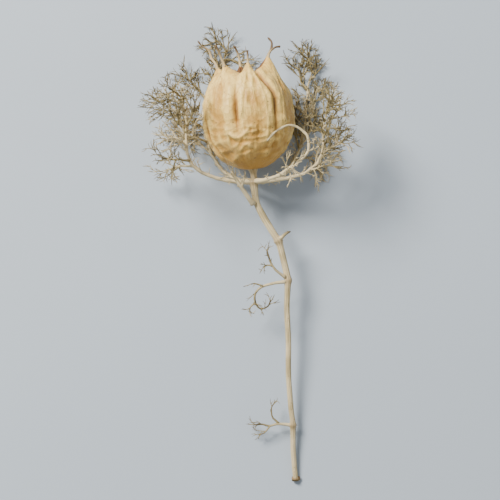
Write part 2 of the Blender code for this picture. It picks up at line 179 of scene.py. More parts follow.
STEM_NODES = (0, -15.3, -25.8, -63.8)  # the y of each knot where bracts or leaves leave the stem
CURVE_STEPS = 12  # steps between two given points, when a smooth curve is measured

# Bracts: the given main thread of each, how many arms leave it, from what share of its
# length, the first arm's length, and a seed for the arms' bends
BRACTS = {
    "bract_left": {
        "axis": (
            (-2.0, 0.2, 0.4), (-6.3, 0.3, 1.2), (-12.9, 2.1, 2.6), (-16.6, 5.2, 3.6),
            (-17.6, 9.4, 4.6), (-17.4, 14.2, 5.2), (-18.0, 19.0, 5.4), (-19.2, 23.6, 5.0),
        ),
        "arms": 10,
        "arms_from": 0.42,
        "arm_length": 12.0,
        "seed": 11,
    },
    "bract_right": {
        "axis": (
            (2.0, 0.2, 0.3), (5.6, 0.6, 1.0), (11.5, 1.6, 2.4), (15.6, 3.8, 3.8),
            (17.6, 7.2, 4.8), (18.0, 11.6, 5.6), (18.4, 16.4, 6.2), (19.6, 20.8, 6.4),
        ),
        "arms": 9,
        "arms_from": 0.42,
        "arm_length": 9.0,
        "seed": 23,
    },
    "bract_front": {
        "axis": (
            (1.0, 0.3, 1.9), (3.5, 0.6, 4.8), (7.2, 2.0, 8.6), (11.0, 4.6, 11.0),
            (13.9, 8.0, 11.8), (13.7, 11.4, 11.8), (11.7, 13.4, 11.6), (9.3, 14.2, 12.0),
            (6.9, 13.6, 12.2), (5.0, 11.8, 12.2), (3.4, 10.0, 12.0),
        ),
        "arms": 4,
        "arms_from": 0.3,
        "arm_length": 5.0,
        "seed": 31,
    },
    "bract_under_left": {
        "axis": (
            (-1.2, 0.2, -1.5), (-4.2, 0.8, -5.0), (-8.2, 3.4, -8.4), (-11.2, 8.0, -12.0),
            (-13.2, 14.5, -20.0), (-13.4, 21.5, -20.0), (-11.0, 28.0, -20.0),
            (-8.0, 33.5, -20.0), (-6.6, 38.5, -20.0),
        ),
        "arms": 10,
        "arms_from": 0.34,
        "arm_length": 10.0,
        "seed": 47,
    },
    "bract_under_right": {
        "axis": (
            (1.2, 0.2, -1.5), (4.4, 0.8, -5.0), (8.6, 3.2, -8.4), (11.8, 8.2, -12.0),
            (13.6, 14.5, -20.0), (14.2, 21.0, -20.0), (14.8, 27.0, -20.0),
            (16.6, 32.5, -20.0),
        ),
        "arms": 10,
        "arms_from": 0.34,
        "arm_length": 11.0,
        "seed": 59,
    },
}

# Each bract keeps to its own share of the room around the capsule: (from, to) in degrees
SECTORS = {
    "bract_left": (243, 335),
    "bract_right": (63, 117),
    "bract_front": (-25, 58),
    "bract_under_left": (183, 237),
    "bract_under_right": (123, 177),
}
BRACT_POINTS = 20
BRACT_ROUTE_RADIUS = {"bract_front": 0.65}  # what a main thread's route leaves free, if not 0.75
LAST_ARM_AT = 0.97  # as a share of the main thread's length
ARM_ANGLE = math.radians(52)
ARM_SHRINKS = 0.45  # how much shorter the last arm is than the first, as a share
ARM_ROUTE_RADIUS = 0.42
TWIGS_AT = (0.4, 0.72)
TWIG_ANGLE = math.radians(55)
TWIG_LENGTH = 0.42  # as a share of its arm's length
TWIG_ROUTE_RADIUS = 0.3
THREAD_BENDS = (0.3, 1.1)  # the least and most that a thread bends over its length, in radians
LENGTHS_VARY = (0.8, 1.15)
THREAD_STEP = 1.6
CLEAR_OF_CAPSULE = 0.9

# Fine threads, in millimetres
AXIS_RADII = (0.6, 0.2)
FRONT_RADII = (0.52, 0.3)
CROWDED = 1.5  # side of the cells in which threads are counted
TRIED_HEADINGS = 5
FORK_ANGLES = (20, 50)  # in degrees

# Leaves on the stem: the points of each thread from its root outwards, then its radii
LEAVES = {
    "leaf_top": (
        (((-0.2, -5.6, 0.9), (-1.6, -3.9, 2.3), (-3.2, -1.7, 3.4), (-4.7, 0.7, 4.6),
          (-5.9, 2.6, 5.9)), (0.66, 0.42)),
        (((-4.7, 0.7, 4.6), (-6.2, 1.2, 5.2), (-7.6, 1.3, 5.0)), (0.34, 0.2)),
        (((-3.2, -1.7, 3.4), (-2.7, -0.2, 4.5), (-2.5, 1.2, 5.7)), (0.34, 0.2)),
    ),
    "leaf_stub": ((((7.0, -14.8, 0.8), (8.6, -13.4, 2.0), (9.6, -12.9, 2.2)), (0.5, 0.34)),),
    "leaf_upper": (
        (((8.2, -24.9, 0.7), (6.2, -23.4, 1.9), (4.9, -22.0, 2.3), (3.9, -20.0, 2.3),
          (3.4, -17.7, 2.0)), (0.4, 0.22)),
        (((4.9, -22.0, 2.3), (3.6, -21.8, 2.8), (2.4, -22.4, 2.9)), (0.28, 0.16)),
    ),
    "leaf_curled": (
        (((8.4, -26.1, 0.5), (5.2, -26.5, 1.2), (2.4, -27.3, 1.6), (0.5, -29.2, 1.6),
          (0.4, -31.6, 1.4), (1.9, -33.2, 1.4), (3.9, -32.4, 1.9), (4.4, -30.8, 2.4)),
         (0.42, 0.2)),
        (((2.4, -27.3, 1.6), (0.6, -26.6, 2.3), (-0.8, -26.7, 2.6)), (0.28, 0.16)),
        (((0.4, -31.6, 1.4), (-0.8, -32.6, 1.0), (-1.2, -34.2, 0.9)), (0.28, 0.16)),
    ),
    "leaf_lower": (
        (((9.8, -63.8, 0.1), (6.6, -63.4, 0.6), (4.2, -63.9, 0.8), (1.8, -63.5, 0.8),
          (-0.2, -63.8, 0.6)), (0.42, 0.2)),
        (((6.6, -63.4, 0.6), (5.0, -61.6, 1.2), (4.6, -59.4, 1.5), (5.4, -57.6, 1.4)),
         (0.3, 0.16)),
        (((4.2, -63.9, 0.8), (2.8, -65.5, 0.6), (1.2, -66.4, 0.4)), (0.28, 0.16)),
    ),
}

# Where the bracts' joint stands in the part's frame, and how the pod lies
JOINT_X = 1.0
JOINT_Y = 18.3
CUT_END = STEM[-1]
LEVER = NECK_LENGTH + CAPSULE_WAIST - CUT_END[1]
TILT = math.atan2(BELLY_REACH - CUT_END[3], LEVER)
JOINT_Z = CUT_END[3] * math.cos(TILT) - CUT_END[1] * math.sin(TILT)
AXIS = Vector((-math.sin(CAPSULE_LEAN), math.cos(CAPSULE_LEAN), 0))
RIGHT = Vector((math.cos(CAPSULE_LEAN), math.sin(CAPSULE_LEAN), 0))
UP = Vector((0, 0, 1))
LYING = Matrix.Translation((JOINT_X, JOINT_Y, JOINT_Z)) @ Matrix.Rotation(TILT, 4, "X")

Thread = namedtuple("Thread", "route start length tone")  # start and length along the whole bract


def lie_down(point):
    """A point of the pod's own frame, in millimetres, as the pod lies, in metres."""
    return LYING @ Vector(point) * MM


def around(azimuth, radius, height):
    """A point at an azimuth and radius about the capsule's axis, and a height above the joint."""
    return AXIS * height + RIGHT * (radius * math.sin(azimuth)) + UP * (radius * math.cos(azimuth))


def from_capsule(point):
    """A point of the capsule's frame, whose z runs up its axis and -y faces up, laid down."""
    return lie_down(RIGHT * point.x - UP * point.y + AXIS * (NECK_LENGTH + point.z))


def smoothstep(low, high, value):
    """0 at low, 1 at high, and a soft rise between them."""
    share = max(0.0, min(1.0, (value - low) / (high - low)))
    return share * share * (3 - 2 * share)


def between(a, b, c, d, t):
    """A number on the smooth curve from b to c, whose neighbours are a and d (Catmull-Rom)."""
    linear = (c - a) * t
    square = (2 * a - 5 * b + 4 * c - d) * t**2
    cube = (3 * b - a - 3 * c + d) * t**3
    return 0.5 * (2 * b + linear + square + cube)


def smooth_route(points, count):
    """Points along a smooth curve through the given ones, evenly spaced; each may hold a radius."""
    ends = [points[0]] + list(points) + [points[-1]]
    fine = []
    for i in range(len(points) - 1):
        for k in range(CURVE_STEPS):
            fine.append([between(*four, k / CURVE_STEPS) for four in zip(*ends[i : i + 4])])
    fine.append(list(points[-1]))
    reached = [0]
    for before, after in zip(fine, fine[1:]):
        reached.append(reached[-1] + math.dist(before[:3], after[:3]))
    route = []
    k = 0
    for i in range(count):
        target = reached[-1] * i / (count - 1)
        while k < len(fine) - 2 and reached[k + 1] < target:
            k += 1
        t = (target - reached[k]) / (reached[k + 1] - reached[k])
        route.append([p + (q - p) * t for p, q in zip(fine[k], fine[k + 1])])
    return route


def route_length(points):
    """The length of a route."""
    return sum(math.dist(p[:3], q[:3]) for p, q in zip(points, points[1:]))


def capsule_radius(height):
    """The capsule's radius at a height above its base, 0 beyond both ends."""
    half = CAPSULE_BELOW if height < CAPSULE_WAIST else CAPSULE_ABOVE
    share = (height - CAPSULE_WAIST) / half
    return CAPSULE_RADIUS * math.sqrt(max(0, 1 - share**2))


def keep_off(point, azimuth, radius):
    """Moves a point at an azimuth off the capsule and the surface, for a thread of this radius."""
    height = point.dot(AXIS)
    crown = NECK_LENGTH + CROWN_FROM
    nearest = capsule_radius(min(height, crown) - NECK_LENGTH)
    if height > crown:
        nearest = max(nearest, CAPSULE_RADIUS)
    nearest += CLEAR_OF_CAPSULE + radius
    place = around(azimuth, max(math.hypot(point.dot(RIGHT), point.z), nearest), height)
    surface = (radius - JOINT_Z - place.y * math.sin(TILT)) / math.cos(TILT)
    if place.z < surface:
        place.z = surface
        aside = math.sqrt(max(0, nearest**2 - surface**2))
        if abs(place.dot(RIGHT)) < aside:
            place += RIGHT * (math.copysign(aside, math.sin(azimuth)) - place.dot(RIGHT))
    return place


def settle(point, sector, radius):
    """The nearest place for a thread of this radius: in its sector, off the capsule and surface."""
    azimuth = math.degrees(math.atan2(point.dot(RIGHT), point.z))
    middle = (sector[0] + sector[1]) / 2
    off = (azimuth - middle + 180) % 360 - 180
    half = (sector[1] - sector[0]) / 2
    return keep_off(point, math.radians(middle + max(-half, min(half, off))), radius)


def grow_thread(start, heading, length, curl, sector, radius, draw):
    """The points of a thread that bends one way, more towards its tip, and keeps to its room."""
    count = max(2, round(length / THREAD_STEP))
    bend = Vector([draw.uniform(-1, 1) for _ in range(3)]).cross(heading).normalized()
    points = [start]
    for i in range(count):
        heading = (heading + bend * (curl * (i + 1) / count**2 * 2)).normalized()
        place = settle(points[-1] + heading * (length / count), sector, radius)
        heading = (place - points[-1]).normalized()
        points.append(place)
    return points


def arm_heading(axis, at, side, draw):
    """The direction in which an arm leaves a bract's main thread at its point number at."""
    along = (axis[at] - axis[at - 1]).normalized()
    outward = axis[at] - AXIS * axis[at].dot(AXIS)
    outward = (outward - along * outward.dot(along)).normalized()
    turn = along.cross(outward) * side * draw.uniform(0.5, 1) + outward * draw.uniform(-0.3, 1.1)
    return along * math.cos(ARM_ANGLE) + turn.normalized() * math.sin(ARM_ANGLE)


def twig_heading(arm, at, draw):
    """The direction in which a twig leaves an arm at its point number at."""
    along = (arm[at] - arm[at - 1]).normalized()
    side = Vector([draw.uniform(-1, 1) for _ in range(3)]).cross(along).normalized()
    return along * math.cos(TWIG_ANGLE) + side * math.sin(TWIG_ANGLE)


def bract_limbs(name):
    """A bract's main thread and its limbs, as (point on the main thread, arm, twigs of the arm)."""
    bract = BRACTS[name]
    sector = SECTORS[name]
    room = BRACT_ROUTE_RADIUS.get(name, 0.75)
    route = smooth_route(bract["axis"], BRACT_POINTS)
    axis = [Vector(route[0])] + [settle(Vector(p), sector, room) for p in route[1:]]
    limbs = []
    for k in range(bract["arms"]):
        draw = random.Random(bract["seed"] * 100 + k)
        rank = k / (bract["arms"] - 1)
        at = round((bract["arms_from"] + (LAST_ARM_AT - bract["arms_from"]) * rank) * (len(axis) - 1))
        heading = arm_heading(axis, at, 1 if k % 2 else -1, draw)
        length = bract["arm_length"] * (1 - ARM_SHRINKS * rank) * draw.uniform(*LENGTHS_VARY)
        curl = draw.uniform(*THREAD_BENDS)
        arm = grow_thread(axis[at], heading, length, curl, sector, ARM_ROUTE_RADIUS, draw)
        twigs = []
        for reach in TWIGS_AT:
            at_arm = max(1, round(reach * (len(arm) - 1)))
            heading = twig_heading(arm, at_arm, draw)
            twig_length = length * TWIG_LENGTH * draw.uniform(*LENGTHS_VARY)
            curl = draw.uniform(*THREAD_BENDS)
            twig = grow_thread(arm[at_arm], heading, twig_length, curl, sector, TWIG_ROUTE_RADIUS, draw)
            twigs.append((at_arm, twig))
        limbs.append((at, arm, twigs))
    return axis, limbs


class NigellaCapsuleSettings(PropertyGroup):
    """Sizes and colours of the capsule."""

    columns: IntProperty(
        name="Columns", description="Faces round the wall", default=312, min=24, max=400
    )
    rings: IntProperty(
        name="Rings", description="Faces from the base to the crown", default=176, min=24, max=300
    )
    furrows: FloatProperty(
        name="Furrows", description="Depth of the furrows against the real pod's",
        default=1, min=0, max=2, subtype="FACTOR",
    )
    rib_height: FloatProperty(
        name="Rib height", description="How far the rib of a chamber stands out",
        default=0.3 * MM, min=0, unit="LENGTH",
    )
    lip_height: FloatProperty(
        name="Lip height", description="How far the wall is puffed up beside a furrow",
        default=0.45 * MM, min=0, unit="LENGTH",
    )
    panel_depth: FloatProperty(
        name="Panel depth", description="How far the middle of a chamber's wall has sunk",
        default=0.3 * MM, min=0, unit="LENGTH",
    )
    crinkle: FloatProperty(
        name="Crinkle", description="Height of the wall's lumps and folds",
        default=0.3 * MM, min=0, unit="LENGTH",
    )
    buckling: FloatProperty(
        name="Buckling", description="Height of the wall's wide bumps",
        default=0.5 * MM, min=0, unit="LENGTH",
    )
    beak_width: FloatProperty(
        name="Beak width", description="Distance from a beak's middle to its foot",
        default=2.0 * MM, min=0, unit="LENGTH",
    )
    # Cream also serves as painted light on the wall's raised parts, and gold as painted shade in its sunken parts.
    cream: FloatVectorProperty(
        name="Cream", description="Colour of the fresh wall", subtype="COLOR", min=0, max=1,
        default=(0.93, 0.65, 0.19),
    )
    gold: FloatVectorProperty(
        name="Gold", description="Colour of the aged wall", subtype="COLOR", min=0, max=1,
        default=(0.56, 0.31, 0.06),
    )
    # Amber is the real veins' and blotches' colour, and it is also part of the painted shade in the furrows, crease
    # grooves and crown hollow.
    amber: FloatVectorProperty(
        name="Amber", description="Colour of veins and the sides of furrows", subtype="COLOR",
        min=0, max=1, default=(0.33, 0.14, 0.022),
    )
    # Painted shade: this dark brown stands for shade at furrow bottoms, in crease grooves, the crown hollow and the
    # slits; it is also the colour of the real specks.
    shade_and_speck_brown: FloatVectorProperty(
        name="Bark", description="Colour at the bottom of furrows and in the crown",
        subtype="COLOR", min=0, max=1, default=(0.07, 0.027, 0.008),
    )


class NigellaThreadSettings(PropertyGroup):
    """Sizes and colours of the threads of bracts and leaves."""

    sides: IntProperty(
        name="Sides", description="Faces round a fine thread", default=6, min=3, max=12
    )
    spacing: FloatProperty(
        name="Spacing", description="Distance between two tines on a thread",
        default=1.7 * MM, min=0.2 * MM, unit="LENGTH",
    )
    tine_length: FloatProperty(
        name="Tine length", description="Length of a tine of the first order",
        default=7.4 * MM, min=0, unit="LENGTH",
    )
    tine_radius: FloatProperty(
        name="Tine radius", description="Radius of a tine at its foot",
        default=0.165 * MM, min=0, unit="LENGTH",
    )
    tip_radius: FloatProperty(
        name="Tip radius", description="Radius of a tine near its tip",
        default=0.075 * MM, min=0, unit="LENGTH",
    )
    crooked: FloatProperty(
        name="Crookedness", description="How far a thread strays from its smooth curve",
        default=0.4 * MM, min=0, unit="LENGTH",
    )
    straw: FloatVectorProperty(
        name="Straw", description="Colour of the thick threads", subtype="COLOR", min=0, max=1,
        default=(0.7, 0.58, 0.34),
    )
    olive: FloatVectorProperty(
        name="Olive", description="Colour of the fine threads", subtype="COLOR", min=0, max=1,
        default=(0.3, 0.235, 0.1),
    )
    dark: FloatVectorProperty(
        name="Dark", description="Colour of withered tips", subtype="COLOR", min=0, max=1,
        default=(0.07, 0.05, 0.022),
    )


class NigellaStemSettings(PropertyGroup):
    """Sizes and colours of the stem."""

    sides: IntProperty(
        name="Sides", description="Faces round the stem", default=40, min=8, max=96
    )
    rings: IntProperty(
        name="Rings", description="Faces along the stem", default=260, min=40, max=600
    )
    ridges: IntProperty(
        name="Ridges", description="Ribs round the stem", default=9, min=0, max=20
    )
    ridge_height: FloatProperty(
        name="Ridge height", description="Height of a rib", default=0.06 * MM, min=0, unit="LENGTH"
    )
    straw: FloatVectorProperty(
        name="Straw", description="Colour of the stem", subtype="COLOR", min=0, max=1,
        default=(0.72, 0.59, 0.34),
    )
    olive: FloatVectorProperty(
        name="Olive", description="Colour between the ribs", subtype="COLOR", min=0, max=1,
        default=(0.36, 0.28, 0.13),
    )
    knot: FloatVectorProperty(
        name="Knot", description="Colour at the knots and in the cut", subtype="COLOR",
        min=0, max=1, default=(0.24, 0.14, 0.055),
    )


class NigellaStyleSettings(PropertyGroup):
    """Sizes and colours of the styles."""

    foot_radius: FloatProperty(
        name="Foot radius", description="Radius of a style at its foot",
        default=0.42 * MM, min=0, unit="LENGTH",
    )
    tip_radius: FloatProperty(
        name="Tip radius", description="Radius of a style near its tip",
        default=0.22 * MM, min=0, unit="LENGTH",
    )
    foot: FloatVectorProperty(
        name="Foot", description="Colour of a style's foot", subtype="COLOR", min=0, max=1,
        default=(0.66, 0.5, 0.25),
    )
    tip: FloatVectorProperty(
        name="Tip", description="Colour of a style's tip", subtype="COLOR", min=0, max=1,
        default=(0.13, 0.075, 0.03),
    )


class NigellaStageSettings(PropertyGroup):
    """The floor, the light and the camera."""

    floor_side: FloatProperty(
        name="Floor side", description="Side of the square floor", default=4, min=0.5, unit="LENGTH"
    )
    floor_colour: FloatVectorProperty(
        name="Floor", description="Colour of the floor", subtype="COLOR", min=0, max=1,
        default=(0.42, 0.48, 0.54),
    )
    key_power: FloatProperty(name="Key light", description="Power of the large light", default=17, min=0)
    fill_power: FloatProperty(name="Fill light", description="Power of the fill light", default=1.5, min=0)
    room_light: FloatProperty(
        name="Room light", description="Brightness of the room's even light", default=0.36, min=0
    )
    camera_distance: FloatProperty(
        name="Camera distance", description="From the middle of the pod to the camera",
        default=0.5, min=0.1, unit="LENGTH",
    )
    view_height: FloatProperty(
        name="View height", description="Height of the picture at the pod",
        default=0.13, min=0.02, unit="LENGTH",
    )


def node(tree, kind, inputs=None, **settings):
    """A shader node, with values or other nodes' sockets on its inputs."""
    made = tree.nodes.new(kind)
    for name, value in settings.items():
        setattr(made, name, value)
    for name, value in (inputs or {}).items():
        if isinstance(value, bpy.types.NodeSocket):
            tree.links.new(value, made.inputs[name])
        else:
            made.inputs[name].default_value = value
    return made


def mixed(tree, share, low, high):
    """The colour that is low where share is 0 and high where it is 1."""
    colours = [c if isinstance(c, bpy.types.NodeSocket) else (*c, 1) for c in (low, high)]
    made = node(tree, "ShaderNodeMix", {0: share, 6: colours[0], 7: colours[1]}, data_type="RGBA")
    return made.outputs[2]


def counted(tree, operation, *values):
    """The result of a sum, product or other operation on values and sockets."""
    made = node(tree, "ShaderNodeMath", dict(enumerate(values)), operation=operation)
    return made.outputs[0]


def ranged(tree, value, low, high, to_low=0.0, to_high=1.0):
    """A value's soft rise from to_low to to_high, between low and high."""
    inputs = {"Value": value, "From Min": low, "From Max": high, "To Min": to_low, "To Max": to_high}
    made = node(tree, "ShaderNodeMapRange", inputs, interpolation_type="SMOOTHSTEP")
    return made.outputs["Result"]


def attribute(tree, name):
    """The vector that the mesh holds under this name."""
    return node(tree, "ShaderNodeAttribute", attribute_name=name).outputs["Vector"]


def parts_of(tree, vector):
    """The three numbers of a vector."""
    return node(tree, "ShaderNodeSeparateXYZ", {"Vector": vector}).outputs


def new_group(name, inputs, output):
    """An empty shader node group with named inputs, given as {name: (kind, default)}."""
    group = bpy.data.node_groups.new(name, "ShaderNodeTree")
    for label, (kind, default) in inputs.items():
        socket = group.interface.new_socket(label, in_out="INPUT", socket_type=kind)
        if default is not None:
            socket.default_value = default
    group.interface.new_socket(output, in_out="OUTPUT", socket_type="NodeSocketFloat")
    return group, node(group, "NodeGroupInput").outputs, node(group, "NodeGroupOutput")


def fibre_group():
    """Dry fibres along a grain whose z runs lengthwise."""
    inputs = {
        "Grain": ("NodeSocketVector", None),
        "Around": ("NodeSocketFloat", 5),
        "Along": ("NodeSocketFloat", 0.3),
    }
    group, given, result = new_group("Dry fibres", inputs, "Streak")
    stretch = node(group, "ShaderNodeCombineXYZ", {0: given["Around"], 1: given["Around"], 2: given["Along"]})
    pulled = node(group, "ShaderNodeVectorMath", {0: given["Grain"], 1: stretch.outputs[0]}, operation="MULTIPLY")
    grains = node(group, "ShaderNodeTexNoise", {"Vector": pulled.outputs[0], "Scale": 1, "Detail": 3})
    group.links.new(ranged(group, grains.outputs["Fac"], 0.34, 0.66), result.inputs["Streak"])
    return group


def mottle_group():
    """Soft uneven patches."""
    inputs = {
        "Place": ("NodeSocketVector", None),
        "Scale": ("NodeSocketFloat", 200),
        "Low": ("NodeSocketFloat", 0.4),
        "High": ("NodeSocketFloat", 0.6),
    }
    group, given, result = new_group("Mottle", inputs, "Patches")
    clouds = node(
        group, "ShaderNodeTexNoise", {"Vector": given["Place"], "Scale": given["Scale"], "Detail": 4}
    )
    patches = ranged(group, clouds.outputs["Fac"], given["Low"], given["High"])
    group.links.new(patches, result.inputs["Patches"])
    return group


def speck_group():
    """Small scattered specks, on some of the cells only."""
    inputs = {
        "Place": ("NodeSocketVector", None),
        "Scale": ("NodeSocketFloat", 600),
        "Size": ("NodeSocketFloat", 0.25),
        "Share": ("NodeSocketFloat", 0.3),
    }
    group, given, result = new_group("Specks", inputs, "Specks")
    cells = node(group, "ShaderNodeTexVoronoi", {"Vector": given["Place"], "Scale": given["Scale"]})
    inner = counted(group, "MULTIPLY", given["Size"], 0.4)
    spot = ranged(group, cells.outputs["Distance"], inner, given["Size"], 1, 0)
    chosen = counted(group, "LESS_THAN", parts_of(group, cells.outputs["Color"])[0], given["Share"])
    group.links.new(counted(group, "MULTIPLY", spot, chosen), result.inputs["Specks"])
    return group


def vein_group():
    """A net of fine veins."""
    inputs = {
        "Place": ("NodeSocketVector", None),
        "Scale": ("NodeSocketFloat", 5),
        "Width": ("NodeSocketFloat", 0.08),
    }
    group, given, result = new_group("Vein net", inputs, "Veins")
    strays = node(group, "ShaderNodeTexNoise", {"Vector": given["Place"], "Scale": given["Scale"], "Detail": 2})
    stray = node(group, "ShaderNodeVectorMath", {0: strays.outputs["Color"], "Scale": 0.16}, operation="SCALE")
    crooked = node(group, "ShaderNodeVectorMath", {0: given["Place"], 1: stray.outputs[0]}, operation="ADD")
    net = node(
        group, "ShaderNodeTexVoronoi", {"Vector": crooked.outputs[0], "Scale": given["Scale"]},
        feature="DISTANCE_TO_EDGE",
    )
    veins = ranged(group, net.outputs["Distance"], 0, given["Width"], 1, 0)
    group.links.new(veins, result.inputs["Veins"])
    return group


GROUP_MAKERS = {"Dry fibres": fibre_group, "Mottle": mottle_group, "Specks": speck_group, "Vein net": vein_group}


def effect(tree, name, **inputs):
    """The output of a shared group, which is made the first time it is asked for."""
    group = bpy.data.node_groups.get(name) or GROUP_MAKERS[name]()
    holder = node(tree, "ShaderNodeGroup", node_tree=group)
    for label, value in inputs.items():
        if isinstance(value, bpy.types.NodeSocket):
            tree.links.new(value, holder.inputs[label])
        else:
            holder.inputs[label].default_value = value
    return holder.outputs[0]


def new_material(name):
    """A material with a Principled shader; returns it, its tree and the shader."""
    made = bpy.data.materials.new(name)
    made.use_nodes = True
    shader = made.node_tree.nodes["Principled BSDF"]
    return made, made.node_tree, shader


def dress(tree, shader, colour, roughness, height, depth):
    """Wires a colour, a roughness and a bump of this depth in metres to the shader."""
    bump = node(tree, "ShaderNodeBump", {"Height": height, "Distance": depth, "Strength": 0.8})
    tree.links.new(bump.outputs["Normal"], shader.inputs["Normal"])
    tree.links.new(colour, shader.inputs["Base Color"])
    tree.links.new(roughness, shader.inputs["Roughness"])


def papery_wall(look):
    """The capsule's dry, papery wall: cream and gold, amber at veins, painted shade dark in the furrows, creases and
    crown, and painted light on its raised parts.
    """
    made, tree, shader = new_material("papery wall")
    grain = attribute(tree, "grain")
    relief = parts_of(tree, attribute(tree, "relief"))
    furrow, swell, hollow_shade = relief[0], relief[1], relief[2]
    height = parts_of(tree, grain)[2]
    place = node(tree, "ShaderNodeTexCoord").outputs["Object"]

    clouds = effect(tree, "Mottle", Place=place, Scale=210, Low=0.38, High=0.64)
    streaks = effect(tree, "Dry fibres", Grain=grain, Around=11, Along=1.3)
    fine_streaks = effect(tree, "Dry fibres", Grain=grain, Around=34, Along=3.5)
    net = effect(tree, "Vein net", Place=grain, Scale=6.5, Width=0.1)
    freckles = effect(tree, "Specks", Place=place, Scale=900, Size=0.26, Share=0.16)
    blots = effect(tree, "Mottle", Place=place, Scale=420, Low=0.6, High=0.72)

    aged_and_shaded = counted(tree, "MULTIPLY", clouds, 0.3)
    # More gold towards the capsule's base.
    aged_and_shaded = counted(tree, "ADD", aged_and_shaded, ranged(tree, height, 0.1, 1.2, 0.5, 0))
    aged_and_shaded = counted(tree, "ADD", aged_and_shaded, counted(tree, "MULTIPLY", streaks, 0.22))
    # Painted light and shade: the wall's raised parts are paler and its sunken parts more gold.
    aged_and_shaded = counted(tree, "ADD", aged_and_shaded, ranged(tree, swell, 0.1, 0.9, 0.75, 0))
    colour = mixed(tree, ranged(tree, aged_and_shaded, 0.15, 1.25), look.cream, look.gold)
    colour = mixed(tree, counted(tree, "MULTIPLY", net, 0.22), colour, look.amber)
    colour = mixed(tree, counted(tree, "MULTIPLY", fine_streaks, 0.16), colour, look.amber)
    colour = mixed(tree, counted(tree, "MULTIPLY", blots, 0.28), colour, look.amber)
    # The furrows: the amber at their sides is partly the seams' own brown and partly painted shade; the dark brown at
    # their bottoms and in crease grooves is painted shade.
    colour = mixed(tree, ranged(tree, furrow, 0.1, 0.8, 0, 0.75), colour, look.amber)
    colour = mixed(tree, ranged(tree, furrow, 0.6, 1.0, 0, 0.45), colour, look.shade_and_speck_brown)
    # Painted shade in the crown's hollow and the beaks' slits: amber, then dark brown.
    colour = mixed(tree, ranged(tree, hollow_shade, 0.1, 0.6), colour, look.amber)
    colour = mixed(tree, ranged(tree, hollow_shade, 0.5, 1.0, 0, 0.75), colour, look.shade_and_speck_brown)
    colour = mixed(tree, counted(tree, "MULTIPLY", freckles, 0.6), colour, look.shade_and_speck_brown)

    roughness = ranged(tree, clouds, 0, 1, 0.44, 0.62)
    lift = counted(tree, "MULTIPLY", net, 0.5)
    lift = counted(tree, "ADD", lift, counted(tree, "MULTIPLY", fine_streaks, 0.4))
    lift = counted(tree, "ADD", lift, counted(tree, "MULTIPLY", streaks, 0.5))
    dress(tree, shader, colour, roughness, lift, 0.09 * MM)
    shader.inputs["Specular IOR Level"].default_value = 0.4
    return made


def dry_thread(name, look, pale_until, dark_from):
    """A dry thread: straw near its root, olive further out, dark at withered tips."""
    made, tree, shader = new_material(name)
    grain = attribute(tree, "grain")
    reach, tip, tone = parts_of(tree, attribute(tree, "thread"))[:]
    streaks = effect(tree, "Dry fibres", Grain=grain, Around=2.4, Along=0.5)
    patches = effect(tree, "Mottle", Place=grain, Scale=0.55, Low=0.42, High=0.62)

    age = counted(tree, "ADD", reach, counted(tree, "MULTIPLY", counted(tree, "SUBTRACT", tone, 0.5), 1.1))
    age = counted(tree, "ADD", age, counted(tree, "MULTIPLY", counted(tree, "SUBTRACT", patches, 0.5), 0.22))
    colour = mixed(tree, ranged(tree, age, pale_until, pale_until + 0.6), look.straw, look.olive)
    colour = mixed(tree, counted(tree, "MULTIPLY", streaks, 0.32), colour, look.olive)
    withered = counted(tree, "MULTIPLY", ranged(tree, tip, 0.35, 1.0), ranged(tree, age, dark_from, dark_from + 0.4))
    colour = mixed(tree, counted(tree, "MULTIPLY", withered, 0.85), colour, look.dark)

    roughness = ranged(tree, streaks, 0, 1, 0.5, 0.72)
    dress(tree, shader, colour, roughness, streaks, 0.04 * MM)
    return made


def straw_stem(look):
    """The stem: straw with olive between its ribs, brown at the knots and in the cut."""
    made, tree, shader = new_material("straw stem")
    grain = attribute(tree, "grain")
    knot, rib, cut = parts_of(tree, attribute(tree, "thread"))[:]
    place = node(tree, "ShaderNodeTexCoord").outputs["Object"]
    streaks = effect(tree, "Dry fibres", Grain=grain, Around=4.2, Along=0.16)
    fine = effect(tree, "Dry fibres", Grain=grain, Around=11, Along=0.4)
    patches = effect(tree, "Mottle", Place=place, Scale=120, Low=0.42, High=0.62)
    specks = effect(tree, "Specks", Place=place, Scale=1300, Size=0.3, Share=0.2)

    age = counted(tree, "ADD", counted(tree, "MULTIPLY", streaks, 0.35), counted(tree, "MULTIPLY", patches, 0.4))
    age = counted(tree, "SUBTRACT", counted(tree, "ADD", age, 0.22), counted(tree, "MULTIPLY", rib, 0.34))
    colour = mixed(tree, ranged(tree, age, 0, 0.8), look.straw, look.olive)
    colour = mixed(tree, counted(tree, "MULTIPLY", fine, 0.2), colour, look.olive)
    colour = mixed(tree, counted(tree, "MULTIPLY", knot, 0.5), colour, look.knot)
    colour = mixed(tree, counted(tree, "MULTIPLY", specks, 0.6), colour, look.knot)
    colour = mixed(tree, cut, colour, look.knot)

    roughness = ranged(tree, streaks, 0, 1, 0.46, 0.66)
    lift = counted(tree, "ADD", counted(tree, "MULTIPLY", fine, 0.5), counted(tree, "MULTIPLY", streaks, 0.5))
    dress(tree, shader, colour, roughness, lift, 0.06 * MM)
    return made


